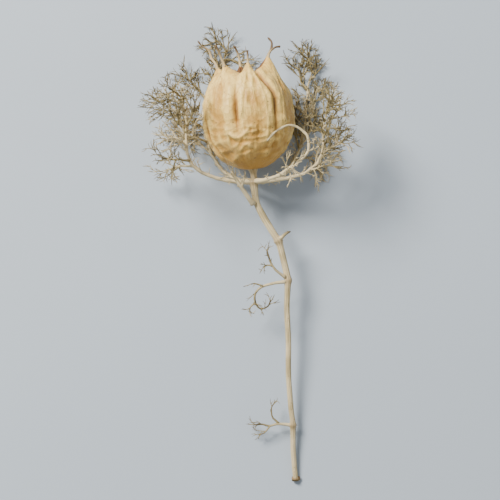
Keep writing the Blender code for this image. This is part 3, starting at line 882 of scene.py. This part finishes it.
def dry_style(look):
    """A style: straw at its foot, dark brown towards its curled tip."""
    made, tree, shader = new_material("dry style")
    grain = attribute(tree, "grain")
    reach, tip, tone = parts_of(tree, attribute(tree, "thread"))[:]
    streaks = effect(tree, "Dry fibres", Grain=grain, Around=3, Along=0.6)
    age = counted(tree, "ADD", tip, counted(tree, "MULTIPLY", counted(tree, "SUBTRACT", tone, 0.5), 0.6))
    colour = mixed(tree, ranged(tree, age, 0.1, 0.85), look.foot, look.tip)
    colour = mixed(tree, counted(tree, "MULTIPLY", streaks, 0.35), colour, look.tip)
    dress(tree, shader, colour, ranged(tree, streaks, 0, 1, 0.5, 0.7), streaks, 0.05 * MM)
    return made


def plain_floor(look):
    """A plain pale floor with a faint unevenness."""
    made, tree, shader = new_material("pale floor")
    place = node(tree, "ShaderNodeTexCoord").outputs["Object"]
    clouds = effect(tree, "Mottle", Place=place, Scale=9, Low=0.3, High=0.7)
    darker = [c * 0.97 for c in look.floor_colour]
    colour = mixed(tree, clouds, look.floor_colour, darker)
    dress(tree, shader, colour, ranged(tree, clouds, 0, 1, 0.75, 0.85), clouds, 0.01 * MM)
    return made


def show(context, name, built, surface):
    """Puts a finished bmesh in the scene as one piece with one material."""
    mesh = bpy.data.meshes.new(name)
    built.to_mesh(mesh)
    built.free()
    mesh.shade_smooth()
    mesh.materials.append(surface)
    piece = bpy.data.objects.new(name, mesh)
    context.scene.collection.objects.link(piece)
    return piece


def straight_tube(sides, rings):
    """A closed tube of radius 1, whose rings stand 1 apart along z, as a mesh."""
    tube = bmesh.new()
    verts = [tube.verts.new((1, 0, k)) for k in range(rings)]
    edges = [tube.edges.new(pair) for pair in zip(verts, verts[1:])]
    bmesh.ops.spin(
        tube, geom=verts + edges, axis=(0, 0, 1), cent=(0, 0, 0), angle=math.tau, steps=sides,
        use_merge=True,
    )
    for end in (0, rings - 1):
        rim = [edge for edge in tube.edges if all(round(vert.co.z) == end for vert in edge.verts)]
        bmesh.ops.contextual_create(tube, geom=rim)
    bmesh.ops.recalc_face_normals(tube, faces=tube.faces)
    tube.verts.layers.float_vector.new("grain")
    tube.verts.layers.float_vector.new("thread")
    mesh = bpy.data.meshes.new(f"tube_{sides}_{rings}")
    tube.to_mesh(mesh)
    tube.free()
    return mesh


def tube_mesh(sides, rings):
    """The straight tube with so many sides and rings, which is made only once."""
    return bpy.data.meshes.get(f"tube_{sides}_{rings}") or straight_tube(sides, rings)


def ring_frames(route):
    """For each point of a route: the point, two directions across it, its radius and the length so far."""
    frames = []
    points = [Vector(p[:3]) for p in route]
    across = None
    along = 0.0
    for k, point in enumerate(points):
        heading = (points[min(k + 1, len(points) - 1)] - points[max(k - 1, 0)]).normalized()
        if across is None:
            across = heading.orthogonal().normalized()
        else:
            across = (across - heading * across.dot(heading)).normalized()
            along += (point - points[k - 1]).length
        frames.append((point, across, heading.cross(across), route[k][3], along))
    return frames


def bend_along(route, sides, shape):
    """A tube bent along a route, as a bmesh. shape(angle, ring, along, radius) gives a radius and the thread vector."""
    tube = bmesh.new()
    tube.from_mesh(tube_mesh(sides, len(route)))
    grain = tube.verts.layers.float_vector["grain"]
    thread = tube.verts.layers.float_vector["thread"]
    frames = ring_frames(route)
    for vert in tube.verts:
        ring = round(vert.co.z)
        point, across, other, radius, along = frames[ring]
        x, y = vert.co.x, vert.co.y
        reach, values = shape(math.atan2(y, x), ring, along, radius)
        vert.co = lie_down(point + (across * x + other * y) * reach)
        vert[grain] = (x, y, along)
        vert[thread] = values
    return tube


def add_threads(whole, threads, sides, carrier):
    """Bends a closed tube along each thread and joins them all in one bmesh."""
    for item in threads:
        last = len(item.route) - 1

        def shape(angle, ring, along, radius):
            reach = item.start + item.length * ring / last
            return radius, (reach, ring / last, item.tone)

        tube = bend_along(item.route, sides, shape)
        tube.to_mesh(carrier)
        tube.free()
        whole.from_mesh(carrier)


def crooked_route(points, radii, count, crooked, offset):
    """A smooth route with radii, strayed a little, with a flared foot and a pointed tip."""
    route = []
    for i, point in enumerate(smooth_route([tuple(p) for p in points], count)):
        share = i / (count - 1)
        stray = noise.noise_vector(Vector(point) * 0.42 + offset) * crooked * smoothstep(0, 0.35, share)
        radius = radii[1] + (radii[0] - radii[1]) * (1 - share) ** 1.2
        radius *= 1 + 0.35 * math.exp(-share * 12)
        if i == count - 1:
            radius *= 0.35
        route.append((*(Vector(point) + stray), radius))
    return route


def clear_face(point, radius, faces_front):
    """Keeps a fine thread off the capsule and surface and, unless it faces front, out of its face."""
    azimuth = math.atan2(point.dot(RIGHT), point.z)
    place = keep_off(point, azimuth, radius)
    height = place.dot(AXIS) - NECK_LENGTH
    across = place.dot(RIGHT)
    edge = capsule_radius(min(max(height, 3), CROWN_FROM)) + 0.7
    if not faces_front and place.z > 0 and 2 < height < 27.5 and abs(across) < edge:
        place += RIGHT * (math.copysign(edge, across) - across)
    return place


class Nest:
    """Grows fine forked tines on threads, from a seed, into the room that is least taken."""

    def __init__(self, seed, settings):
        self.draw = random.Random(seed)
        self.spacing = settings.spacing / MM
        self.length = settings.tine_length / MM
        self.radii = (settings.tine_radius / MM, settings.tip_radius / MM)
        self.crooked = settings.crooked / MM
        self.taken = {}
        self.begin(False, 1)

    def begin(self, faces_front, whole_length):
        """Starts on the next bract or leaf."""
        self.faces_front = faces_front
        self.whole_length = whole_length
        self.threads = []

    def cells(self, point):
        """The cell that a point lies in, seen from above and in space."""
        cell = tuple(math.floor(c / CROWDED) for c in point)
        return cell[:2], cell

    def keep(self, points, radii, start, tone):
        """Adds a thread along points, whose root lies start along its bract."""
        length = route_length(points)
        count = max(5, min(10, round(length / 0.7)))
        offset = Vector([self.draw.uniform(-50, 50) for _ in range(3)])
        route = crooked_route(points, radii, count, self.crooked * min(1, length / 5), offset)
        for point in route[1:]:
            for cell in self.cells(point[:3]):
                self.taken[cell] = self.taken.get(cell, 0) + 1
        share = self.whole_length
        self.threads.append(Thread(route, start / share, length / share, tone))

    def heading(self, start, along, length):
        """Of a few directions in which a tine may leave a thread, the one with most room."""
        draw = self.draw
        best = None
        for _ in range(TRIED_HEADINGS):
            side = Vector([draw.uniform(-1, 1) for _ in range(3)]).cross(along).normalized()
            angle = math.radians(draw.uniform(*FORK_ANGLES))
            tried = along * math.cos(angle) + side * math.sin(angle)
            crowd = draw.uniform(0, 1.5)
            for share in (0.5, 1):
                place = clear_face(start + tried * (length * share), 0.2, self.faces_front)
                crowd += sum(self.taken.get(cell, 0) for cell in self.cells(place))
            if best is None or crowd < best[0]:
                best = (crowd, tried)
        return best[1]

    def grow(self, start, heading, length, radius):
        """The points of a tine that curls evenly and keeps clear."""
        steps = max(3, round(length / 0.7))
        bend = Vector([self.draw.uniform(-1, 1) for _ in range(3)]).cross(heading).normalized()
        curl = self.draw.uniform(0.1, 1.5)
        points = [start]
        for i in range(steps):
            heading = (heading + bend * (curl * (i + 1) / steps**2 * 2)).normalized()
            place = clear_face(points[-1] + heading * (length / steps), radius, self.faces_front)
            if (place - points[-1]).length > 0.05:
                heading = (place - points[-1]).normalized()
                points.append(place)
        return points

    def fork(self, points, at, length, start, level, tone):
        """Grows a tine from the point number at of a thread, and the tines that fork from it."""
        draw = self.draw
        along = (points[at] - points[at - 1]).normalized()
        shrink = 0.84**level
        radii = (self.radii[0] * shrink, self.radii[1] * max(0.75, shrink))
        tine = self.grow(points[at], self.heading(points[at], along, length), length, radii[0])
        if len(tine) < 3:
            return
        tone = max(0, min(1, tone + draw.uniform(-0.25, 0.25)))
        self.keep(tine, radii, start, tone)
        if level >= 3 or length < 1.5:
            return
        forks = 3 if length > 5 else 2 if draw.random() < 0.6 else 1
        for n in range(forks):
            share = (0.3 + 0.5 * n / forks) + draw.uniform(-0.08, 0.12)
            k = max(1, min(len(tine) - 2, round(share * (len(tine) - 1))))
            child = length * draw.uniform(0.32, 0.62)
            self.fork(tine, k, child, start + length * share, level + 1, tone)

    def set_tines(self, points, stretch, start, level, tone, scale=1.0, ends=True):
        """Sets tines along a stretch of a thread, given as shares of its length, and at its tip."""
        draw = self.draw
        length = route_length(points)
        fine = [Vector(p) for p in smooth_route([tuple(p) for p in points], max(6, round(length / 0.6)))]
        along = length * stretch[0] + self.spacing * draw.uniform(0.2, 0.8)
        while along < length * stretch[1]:
            at = max(1, round(along / length * (len(fine) - 1)))
            tine = self.length * scale * draw.uniform(0.5, 1.25) * (1 - 0.3 * along / length)
            self.fork(fine, at, tine, start + along, level, tone)
            along += self.spacing * draw.uniform(0.7, 1.35)
        for _ in range(2 if ends else 0):
            tine = self.length * scale * draw.uniform(0.5, 0.9)
            self.fork(fine, len(fine) - 2, tine, start + length, level, tone)


def bract_tubes(name, nest):
    """All threads of one bract: first the thick ones of its frame, then the fine tines on them."""
    bract = BRACTS[name]
    axis, limbs = bract_limbs(name)
    axis_length = route_length(axis)
    whole_length = axis_length + bract["arm_length"]
    front = name == "bract_front"
    nest.begin(front, whole_length)
    draw = nest.draw
    root = Vector((axis[0].x * 0.35, axis[0].y, axis[0].z * 0.35))
    main = crooked_route(
        [root] + axis, FRONT_RADII if front else AXIS_RADII, 90, 0.35, Vector((bract["seed"], 0, 0))
    )
    main = [
        (x, y, z, radius * (1 + 0.35 * noise.noise(Vector((x, y, z)) * 0.9))) for x, y, z, radius in main
    ]
    main_thread = Thread(main, 0, axis_length / whole_length, 0.25)
    for at, arm, twigs in limbs:
        tone = draw.uniform(0.1, 0.9)
        start = axis_length * at / (len(axis) - 1)
        if front and at > len(axis) * 0.6:
            continue
        length = route_length(arm)
        nest.keep(arm, (0.32, 0.15), start, tone)
        nest.set_tines(arm, (0.12, 0.98), start, 1, tone, 0.6 if front else 1)
        for at_arm, twig in twigs:
            twig_start = start + length * at_arm / (len(arm) - 1)
            nest.keep(twig, (0.24, 0.12), twig_start, tone)
            nest.set_tines(twig, (0.2, 0.98), twig_start, 1, tone, 0.5 if front else 0.75)
    nest.set_tines(axis, (0.2, 0.5) if front else (0.3, 0.98), 0, 1, 0.45, 0.7, not front)
    nest.set_tines(axis, (0.08, 0.4), 0, 2, 0.2, 0.32, False)
    return main_thread, nest.threads


class NIGELLA_OT_seed_capsule(Operator):
    """Builds the inflated, papery capsule with its furrows, ribs and beaks"""

    bl_idname = "nigella.seed_capsule"
    bl_label = "Seed capsule"

    def execute(self, context):
        look = context.scene.nigella_capsule
        wall = bmesh.new()
        outline = []
        steps = 40
        start = math.asin(0.4 / CAPSULE_BELOW - CAPSULE_WAIST / CAPSULE_BELOW)
        end = math.asin((CROWN_FROM - CAPSULE_WAIST) / CAPSULE_ABOVE)
        for i in range(steps + 1):
            angle = start + (end - start) * i / steps
            half = CAPSULE_BELOW if angle < 0 else CAPSULE_ABOVE
            outline.append((CAPSULE_RADIUS * math.cos(angle), 0, CAPSULE_WAIST + half * math.sin(angle)))
        outline = [(0, 0, 0), (2.0, 0, 0.1)] + outline + [(radius, 0, height) for height, radius in CROWN]
        verts = [wall.verts.new(Vector(p)) for p in smooth_route(outline, look.rings + 1)]
        edges = [wall.edges.new(pair) for pair in zip(verts, verts[1:])]
        wedge = math.tau / WEDGES
        turn = {"axis": (0, 0, 1), "cent": (0, 0, 0)}
        bmesh.ops.spin(wall, geom=verts + edges, angle=wedge, steps=look.columns // WEDGES, **turn)
        built = wall.verts[:] + wall.edges[:] + wall.faces[:]
        bmesh.ops.spin(
            wall, geom=built, angle=math.tau - wedge, steps=WEDGES - 1, use_duplicate=True, **turn
        )
        bmesh.ops.remove_doubles(wall, verts=wall.verts, dist=0.001)
        bmesh.ops.recalc_face_normals(wall, faces=wall.faces)
        shape_wall(wall, look)
        piece = show(context, "dried_seed_capsule", wall, papery_wall(look))
        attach(piece, "root")
        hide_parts("seed_capsule")
        return {"FINISHED"}


def nearest_furrow(azimuth, height):
    """The furrow closest to an azimuth at a height, and the angle to it in degrees."""
    best = None
    for furrow in FURROWS:
        line = furrow[0] + furrow[1] * smoothstep(17, 26, height)
        off = (azimuth - line + 180) % 360 - 180
        if best is None or abs(off) < abs(best[1]):
            best = (furrow, off)
    return best


def furrow_relief(azimuth, radius, height):
    """The nearest furrow's (depth in millimetres, mask, notch in the rim, lip, panel) at a point."""
    (_, _, depth, deepest, half, rest, notch), off = nearest_furrow(azimuth, height)
    size = max(0.2, radius / CAPSULE_RADIUS)
    aside = math.radians(abs(off)) * radius / size**0.5
    reach = math.exp(-(((height - deepest) / half) ** 2))
    run = rest + (1 - rest) * reach
    edge = smoothstep(0.4, 4, height) if radius > 5 or height < 20 else smoothstep(1.5, 4.5, radius)
    core = math.exp(-aside / 0.42)
    shoulder = math.exp(-((aside / 1.5) ** 2))
    sink = depth * edge * size**0.3 * run * (0.55 * core + 0.45 * shoulder)
    mask = math.exp(-((aside / (0.42 + 0.45 * reach)) ** 2)) * edge * run
    opening = math.exp(-((aside / 1.5) ** 2)) * smoothstep(23.8, 25.8, height)
    lip = math.exp(-(((aside - LIP_ASIDE) / 0.75) ** 2)) * (0.25 + 0.75 * reach) * edge
    tall = smoothstep(7, 12, height) * smoothstep(24.5, 20, height)
    panel = smoothstep(PANEL_FROM, PANEL_FROM + 2.4, aside) * tall
    return sink, mask, notch * opening, lip, panel


def ribs_of(azimuth, radius, height):
    """How much of a rib or side vein stands at a point of the wall, from 0 to 1."""
    stands = 0.0
    for beak_azimuth, _, _ in BEAKS:
        off = (azimuth - beak_azimuth + 180) % 360 - 180
        if abs(off) > 32:
            continue
        aside = math.radians(off) * radius
        rib = math.exp(-((aside / 0.5) ** 2)) * (0.25 + 0.75 * smoothstep(17, 22, height))
        rib *= smoothstep(8, 12, height)
        spread = 3.5 * math.sin(math.pi * max(0, min(1, (height - 1) / 26)) ** 0.9)
        vein = 0.0
        for side in (-1, 1):
            vein = max(vein, math.exp(-(((aside - side * spread) / 0.34) ** 2)))
        stands = max(stands, rib, vein * 0.55 * smoothstep(4, 9, height))
    return stands


def crease_lines():
    """The creases' points in the capsule's frame, with their relief, width and the darkness of their painted shade."""
    lines = []
    for points, relief, width, dark in CREASES:
        places = []
        for azimuth, height, _ in smooth_route([(a, h, 0) for a, h in points], 2 * len(points)):
            angle = math.radians(azimuth)
            radius = capsule_radius(height)
            places.append(Vector((radius * math.sin(angle), -radius * math.cos(angle), height)))
        middle = places[len(places) // 2]
        reach = max((place - middle).length for place in places) + 2.5 * width
        lines.append((places, relief, width, dark, middle, reach))
    return lines


def crease_relief(point, lines):
    """(height in millimetres, darkness of painted shade) that the creases near a point of the wall add."""
    lift = 0.0
    shade = 0.0
    for places, relief, width, dark, middle, reach in lines:
        if (point - middle).length > reach:
            continue
        nearest = 99.0
        at = 0
        for k in range(len(places) - 1):
            leg = places[k + 1] - places[k]
            share = max(0.0, min(1.0, (point - places[k]).dot(leg) / leg.length_squared))
            away = (places[k] + leg * share - point).length
            if away < nearest:
                nearest = away
                at = (k + share) / (len(places) - 1)
        fade = smoothstep(0, 0.2, at) * smoothstep(1, 0.8, at)
        near = math.exp(-((nearest / width) ** 2)) * (0.25 + 0.75 * fade)
        lift += relief * near
        # The darkness is painted shade along a groove.
        shade = max(shade, dark * near)
    return lift, shade


def crumple(point, height):
    """How far the dry wall stands out in lumps and folds, from about -1 to 1."""
    low = smoothstep(17, 8, height)
    lumps = noise.noise(Vector((point.x * 0.42, point.y * 0.42, point.z * 0.3 + 7)))
    small = noise.noise(Vector((point.x * 0.95, point.y * 0.95, point.z * 0.7)))
    across = 1 - 2 * abs(noise.noise(Vector((point.x * 0.3, point.y * 0.3, point.z * 0.62))))
    along = 1 - 2 * abs(noise.noise(Vector((point.x * 0.62, point.y * 0.62, point.z * 0.22 + 3))))
    folds = (across - 0.45) * low + (along - 0.45) * (1 - low) * 0.8
    return 0.75 * lumps + 0.35 * small + 0.85 * folds


def shape_wall(wall, look):
    """Turns the smooth spun wall into the furrowed, ribbed and crinkled capsule, laid down."""
    grain = wall.verts.layers.float_vector.new("grain")
    relief = wall.verts.layers.float_vector.new("relief")
    wall.normal_update()
    lines = crease_lines()
    rib_height = look.rib_height / MM
    crinkle = look.crinkle / MM
    buckling = look.buckling / MM
    lip_height = look.lip_height / MM
    beaks = beak_places(look.beak_width / MM)
    for vert in wall.verts:
        point = vert.co.copy()
        radius = math.hypot(point.x, point.y)
        azimuth = math.degrees(math.atan2(point.x, -point.y))
        height = point.z
        sink, furrow, notch, lip, panel = furrow_relief(azimuth, radius, height)
        rib = ribs_of(azimuth, radius, height)
        lift, shade = crease_relief(point, lines)
        on_wall = smoothstep(0.3, 3, height) * smoothstep(26, 24, height)
        wide = noise.noise(point * 0.17 + Vector((7, 3, 1)))
        puff = lip * (0.75 + 0.6 * noise.noise(Vector((azimuth * 0.05, 4, height * 0.42))))
        swell = rib * rib_height + puff * lip_height - panel * look.panel_depth / MM
        swell += crumple(point, height) * crinkle + lift
        stands = (swell + wide * buckling) * on_wall - sink * look.furrows
        moved = point + vert.normal * stands
        moved.z -= notch
        hollow_shade = 0.0
        if height > 19:
            moved, slit, share = raise_beaks(moved, beaks)
            # Painted shade: the crown's inside and the slits between the beaks get a dark colour where shade falls.
            inside = smoothstep(6.5, 5.6, radius) if height > 24 else 0.0
            hollow_shade = max(slit, inside * (1 - 0.5 * smoothstep(0.75, 1, share)))
        vert.co = from_capsule(moved)
        vert[grain] = (point.x / max(radius, 0.01), point.y / max(radius, 0.01), height / CAPSULE_RADIUS)
        # Kept for the colour: painted shade in furrows and crease grooves, the height that paints raised parts lighter
        # and sunken ones darker, and painted shade in the crown hollow and slits.
        high = max(0, min(1, 0.5 + swell * on_wall / (2 * FULL_SWELL)))
        vert[relief] = (max(furrow, shade), high, hollow_shade)


def beak_places(width):
    """Each beak's root, outward direction, lean and rise, and its width."""
    beaks = []
    for (azimuth, radius, height), spread in zip(BEAKS, BEAK_SPREADS):
        angle = math.radians(azimuth)
        out = Vector((math.sin(angle), -math.cos(angle), 0))
        beaks.append((out * (radius - 0.5), out, out * 0.5, height - CROWN_TOP, width * spread))
    return beaks


def raise_beaks(place, beaks):
    """Draws the crown up into its beaks: (the new place, how dark the painted shade in a beak's slit is, share raised).
    """
    dark = 0.0
    most = 0.0
    for root, out, lean, rise, width in beaks:
        offset = Vector((place.x, place.y, 0)) - root
        outward = offset.dot(out)
        sideways = (offset - out * outward).length
        away = math.hypot(outward * (0.75 if outward > 0 else 1), sideways)
        pull = max(0.0, 1 - max(0.0, away - 0.3) / width) ** 1.7
        if pull > 0:
            # The slit between two beaks is a dip in the wall, and its darkness is painted shade.
            slit = math.exp(-((sideways / 0.28) ** 2)) * smoothstep(-0.1, -0.9, outward)
            slit *= smoothstep(-3.6, -2.2, outward)
            dark = max(dark, slit * 0.9)
            place = place + lean * pull + Vector((0, 0, rise * pull - 0.45 * slit))
            most = max(most, pull)
    return place, dark, most


class NIGELLA_OT_styles(Operator):
    """Builds the six dried styles, one on each beak"""

    bl_idname = "nigella.styles"
    bl_label = "Styles"

    def execute(self, context):
        look = context.scene.nigella_style
        surface = dry_style(look)
        for number, given in enumerate(STYLES):
            azimuth, radius, height = BEAKS[number]
            angle = math.radians(azimuth)
            tip = around(angle, radius, NECK_LENGTH + height)
            outward = around(angle, 1, 0)
            sideways = around(angle + math.pi / 2, 1, 0)
            points = [tip + outward * o + sideways * s + AXIS * a for o, s, a in given]
            points[0] = tip - AXIS * STYLE_SINKS
            points.insert(1, tip + (points[1] - tip) * 0.25)
            radii = (look.foot_radius / MM, look.tip_radius / MM)
            offset = Vector((number * 5, 2, 9))
            route = crooked_route(points, radii, 26, 0.16, offset)
            tone = random.Random(400 + number).uniform(0.1, 0.9)

            def shape(angle, ring, along, radius):
                flute = 1 + 0.16 * math.cos(2 * angle + along * 0.9)
                knob = 1 + 0.3 * smoothstep(0.86, 0.95, ring / 25) * smoothstep(1.0, 0.96, ring / 25)
                return radius * flute * knob, (0, ring / 25, tone)

            name = f"dried_style_{number + 1}"
            piece = show(context, name, bend_along(route, 10, shape), surface)
            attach(piece, "root")
            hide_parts(f"style_{number + 1}")
        return {"FINISHED"}


class NIGELLA_OT_stem(Operator):
    """Builds the ribbed stem with its knots and its cut end"""

    bl_idname = "nigella.stem"
    bl_label = "Stem"

    def execute(self, context):
        look = context.scene.nigella_stem
        route = smooth_route(STEM, look.rings)
        ridge = look.ridge_height / MM
        last = len(route) - 1

        def shape(angle, ring, along, radius):
            y = route[ring][1]
            knot = max(math.exp(-(((y - place) / 1.3) ** 2)) for place in STEM_NODES)
            turn = along * 0.03 + 0.5 * noise.noise(Vector((along * 0.08, 0, 3)))
            rib = 0.5 + 0.5 * math.cos(look.ridges * (angle + turn))
            rough = noise.noise(Vector((math.cos(angle) * 1.1, math.sin(angle) * 1.1, along * 0.35)))
            reach = radius + ridge * (rib - 0.5) * (1 - 0.6 * knot) + 0.05 * rough * (1 + 1.6 * knot)
            return reach, (knot * 0.8, rib, 0)

        stem = bend_along(route, look.sides, shape)
        cut_stem(stem, route[last])
        piece = show(context, "dried_stem", stem, straw_stem(look))
        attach(piece, "root")
        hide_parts("stem")
        return {"FINISHED"}


def cut_stem(stem, end):
    """Sinks a pith into the cut end of the stem, and marks it as cut."""
    thread = stem.verts.layers.float_vector["thread"]
    middle = lie_down(end[:3])
    caps = [face for face in stem.faces if len(face.verts) > 4]
    cap = min(caps, key=lambda face: (face.calc_center_median() - middle).length)
    bmesh.ops.inset_region(stem, faces=[cap], thickness=0.2 * MM, use_even_offset=True)
    inward = (lie_down(STEM[-2][:3]) - middle).normalized()
    for vert in cap.verts:
        vert[thread] = (0, 0, 0.35)
    sunk = bmesh.ops.extrude_face_region(stem, geom=[cap])["geom"]
    verts = [part for part in sunk if isinstance(part, bmesh.types.BMVert)]
    bmesh.ops.translate(stem, verts=verts, vec=inward * 0.9 * MM)
    bmesh.ops.delete(stem, geom=[cap], context="FACES_ONLY")
    for vert in verts:
        vert[thread] = (0, 0, 0.95)


class NIGELLA_OT_bracts(Operator):
    """Builds the five thread-like bracts of the nest"""

    bl_idname = "nigella.bracts"
    bl_label = "Bracts"

    def execute(self, context):
        look = context.scene.nigella_bract
        surface = dry_thread("bract threads", look, 0.18, 0.35)
        carrier = bpy.data.meshes.new("carrier")
        nest = Nest(7919, look)
        for name in BRACTS:
            main, threads = bract_tubes(name, nest)
            whole = bmesh.new()
            add_threads(whole, [main], 10, carrier)
            add_threads(whole, threads, look.sides, carrier)
            piece = show(context, f"dried_{name}", whole, surface)
            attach(piece, "root")
            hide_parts(name)
        bpy.data.meshes.remove(carrier)
        return {"FINISHED"}


class NIGELLA_OT_leaves(Operator):
    """Builds the dried leaves along the stem"""

    bl_idname = "nigella.leaves"
    bl_label = "Leaves"

    def execute(self, context):
        look = context.scene.nigella_bract
        surface = dry_thread("leaf threads", look, 0.1, 0.25)
        carrier = bpy.data.meshes.new("carrier")
        nest = Nest(907, look)
        for number, (name, parts) in enumerate(LEAVES.items()):
            length = route_length(parts[0][0])
            nest.begin(True, length * 1.3)
            main_points, radii = parts[0]
            count = max(6, min(30, round(length / 0.6)))
            main = crooked_route([Vector(p) for p in main_points], radii, count, 0.15, Vector((number, 0, 0)))
            tone = 0.2 if name == "leaf_top" else 0.62
            for points, radii in parts[1:]:
                points = [Vector(p) for p in points]
                nest.keep(points, radii, length * 0.5, tone)
                nest.set_tines(points, (0.3, 0.98), length * 0.5, 2, tone, 0.5)
            if name != "leaf_stub":
                nest.set_tines([Vector(p) for p in main_points], (0.45, 0.98), 0, 2, tone, 0.55)
            whole = bmesh.new()
            add_threads(whole, [Thread(main, 0, 0.77, tone)], 9, carrier)
            add_threads(whole, nest.threads, look.sides, carrier)
            piece = show(context, f"dried_{name}", whole, surface)
            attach(piece, "root")
            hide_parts(name)
        bpy.data.meshes.remove(carrier)
        return {"FINISHED"}


class NIGELLA_OT_stage(Operator):
    """Builds the floor, the light and the camera"""

    bl_idname = "nigella.stage"
    bl_label = "Stage"

    def execute(self, context):
        look = context.scene.nigella_stage
        built = bmesh.new()
        bmesh.ops.create_grid(built, x_segments=8, y_segments=8, size=look.floor_side / 2)
        floor = show(context, "floor", built, plain_floor(look))

        low, high = FRAME_BOX
        middle = (low + high) / 2
        turned = LYING.to_3x3()
        facing = turned @ Vector((0, 0, 1))
        upwards = turned @ Vector((0, 1, 0))
        self.add_camera(context, look, middle, facing, upwards)
        self.add_light(context, "key", middle, (-0.45, 0.42, 0.56), 0.32, look.key_power, (1, 0.97, 0.92))
        self.add_light(context, "fill", middle, (0.6, -0.35, 0.45), 0.6, look.fill_power, (0.93, 0.96, 1))
        world = bpy.data.worlds.new("room")
        world.use_nodes = True
        background = world.node_tree.nodes["Background"]
        background.inputs["Color"].default_value = (0.93, 0.96, 1, 1)
        background.inputs["Strength"].default_value = look.room_light
        context.scene.world = world
        return {"FINISHED"}

    def add_camera(self, context, look, middle, facing, upwards):
        """A camera square to the plane that the pod's axis and stem lie in."""
        data = bpy.data.cameras.new("camera")
        data.sensor_width = 36
        data.lens = data.sensor_width * look.camera_distance / look.view_height
        data.clip_start = 0.01
        camera = bpy.data.objects.new("camera", data)
        turn = Matrix((upwards.cross(facing), upwards, facing)).transposed().to_4x4()
        camera.matrix_world = Matrix.Translation(middle + facing * look.camera_distance) @ turn
        context.scene.collection.objects.link(camera)
        context.scene.camera = camera

    def add_light(self, context, name, middle, offset, size, power, colour):
        """A soft square light that faces the pod."""
        data = bpy.data.lights.new(name, "AREA")
        data.size = size
        data.energy = power
        data.color = colour
        light = bpy.data.objects.new(name, data)
        light.location = middle + Vector(offset)
        light.rotation_euler = Vector(offset).to_track_quat("Z", "Y").to_euler()
        context.scene.collection.objects.link(light)


class NIGELLA_PT_panel(Panel):
    """Lists the steps that build the pod, with their sizes and colours"""

    bl_idname = "NIGELLA_PT_panel"
    bl_label = "Nigella Seed Pod"
    bl_space_type = "VIEW_3D"
    bl_region_type = "UI"
    bl_category = "Nigella"

    def draw(self, context):
        for operator, group in STEPS:
            box = self.layout.box()
            box.operator(operator.bl_idname)
            settings = getattr(context.scene, group)
            for name in settings.__annotations__:
                box.prop(settings, name)


SETTINGS = {
    "nigella_capsule": NigellaCapsuleSettings,
    "nigella_style": NigellaStyleSettings,
    "nigella_stem": NigellaStemSettings,
    "nigella_bract": NigellaThreadSettings,
    "nigella_stage": NigellaStageSettings,
}
STEPS = (
    (NIGELLA_OT_seed_capsule, "nigella_capsule"),
    (NIGELLA_OT_styles, "nigella_style"),
    (NIGELLA_OT_stem, "nigella_stem"),
    (NIGELLA_OT_bracts, "nigella_bract"),
    (NIGELLA_OT_leaves, "nigella_bract"),
    (NIGELLA_OT_stage, "nigella_stage"),
)


def register():
    for name, group in SETTINGS.items():
        bpy.utils.register_class(group)
        setattr(bpy.types.Scene, name, PointerProperty(type=group))
    for operator, _ in STEPS:
        bpy.utils.register_class(operator)
    bpy.utils.register_class(NIGELLA_PT_panel)


def unregister():
    bpy.utils.unregister_class(NIGELLA_PT_panel)
    for operator, _ in reversed(STEPS):
        bpy.utils.unregister_class(operator)
    for name, group in SETTINGS.items():
        delattr(bpy.types.Scene, name)
        bpy.utils.unregister_class(group)


def main():
    register()
    bpy.ops.nigella.seed_capsule()
    bpy.ops.nigella.styles()
    bpy.ops.nigella.stem()
    bpy.ops.nigella.bracts()
    bpy.ops.nigella.leaves()
    bpy.ops.nigella.stage()
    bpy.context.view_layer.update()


if __name__ == "__main__":
    main()
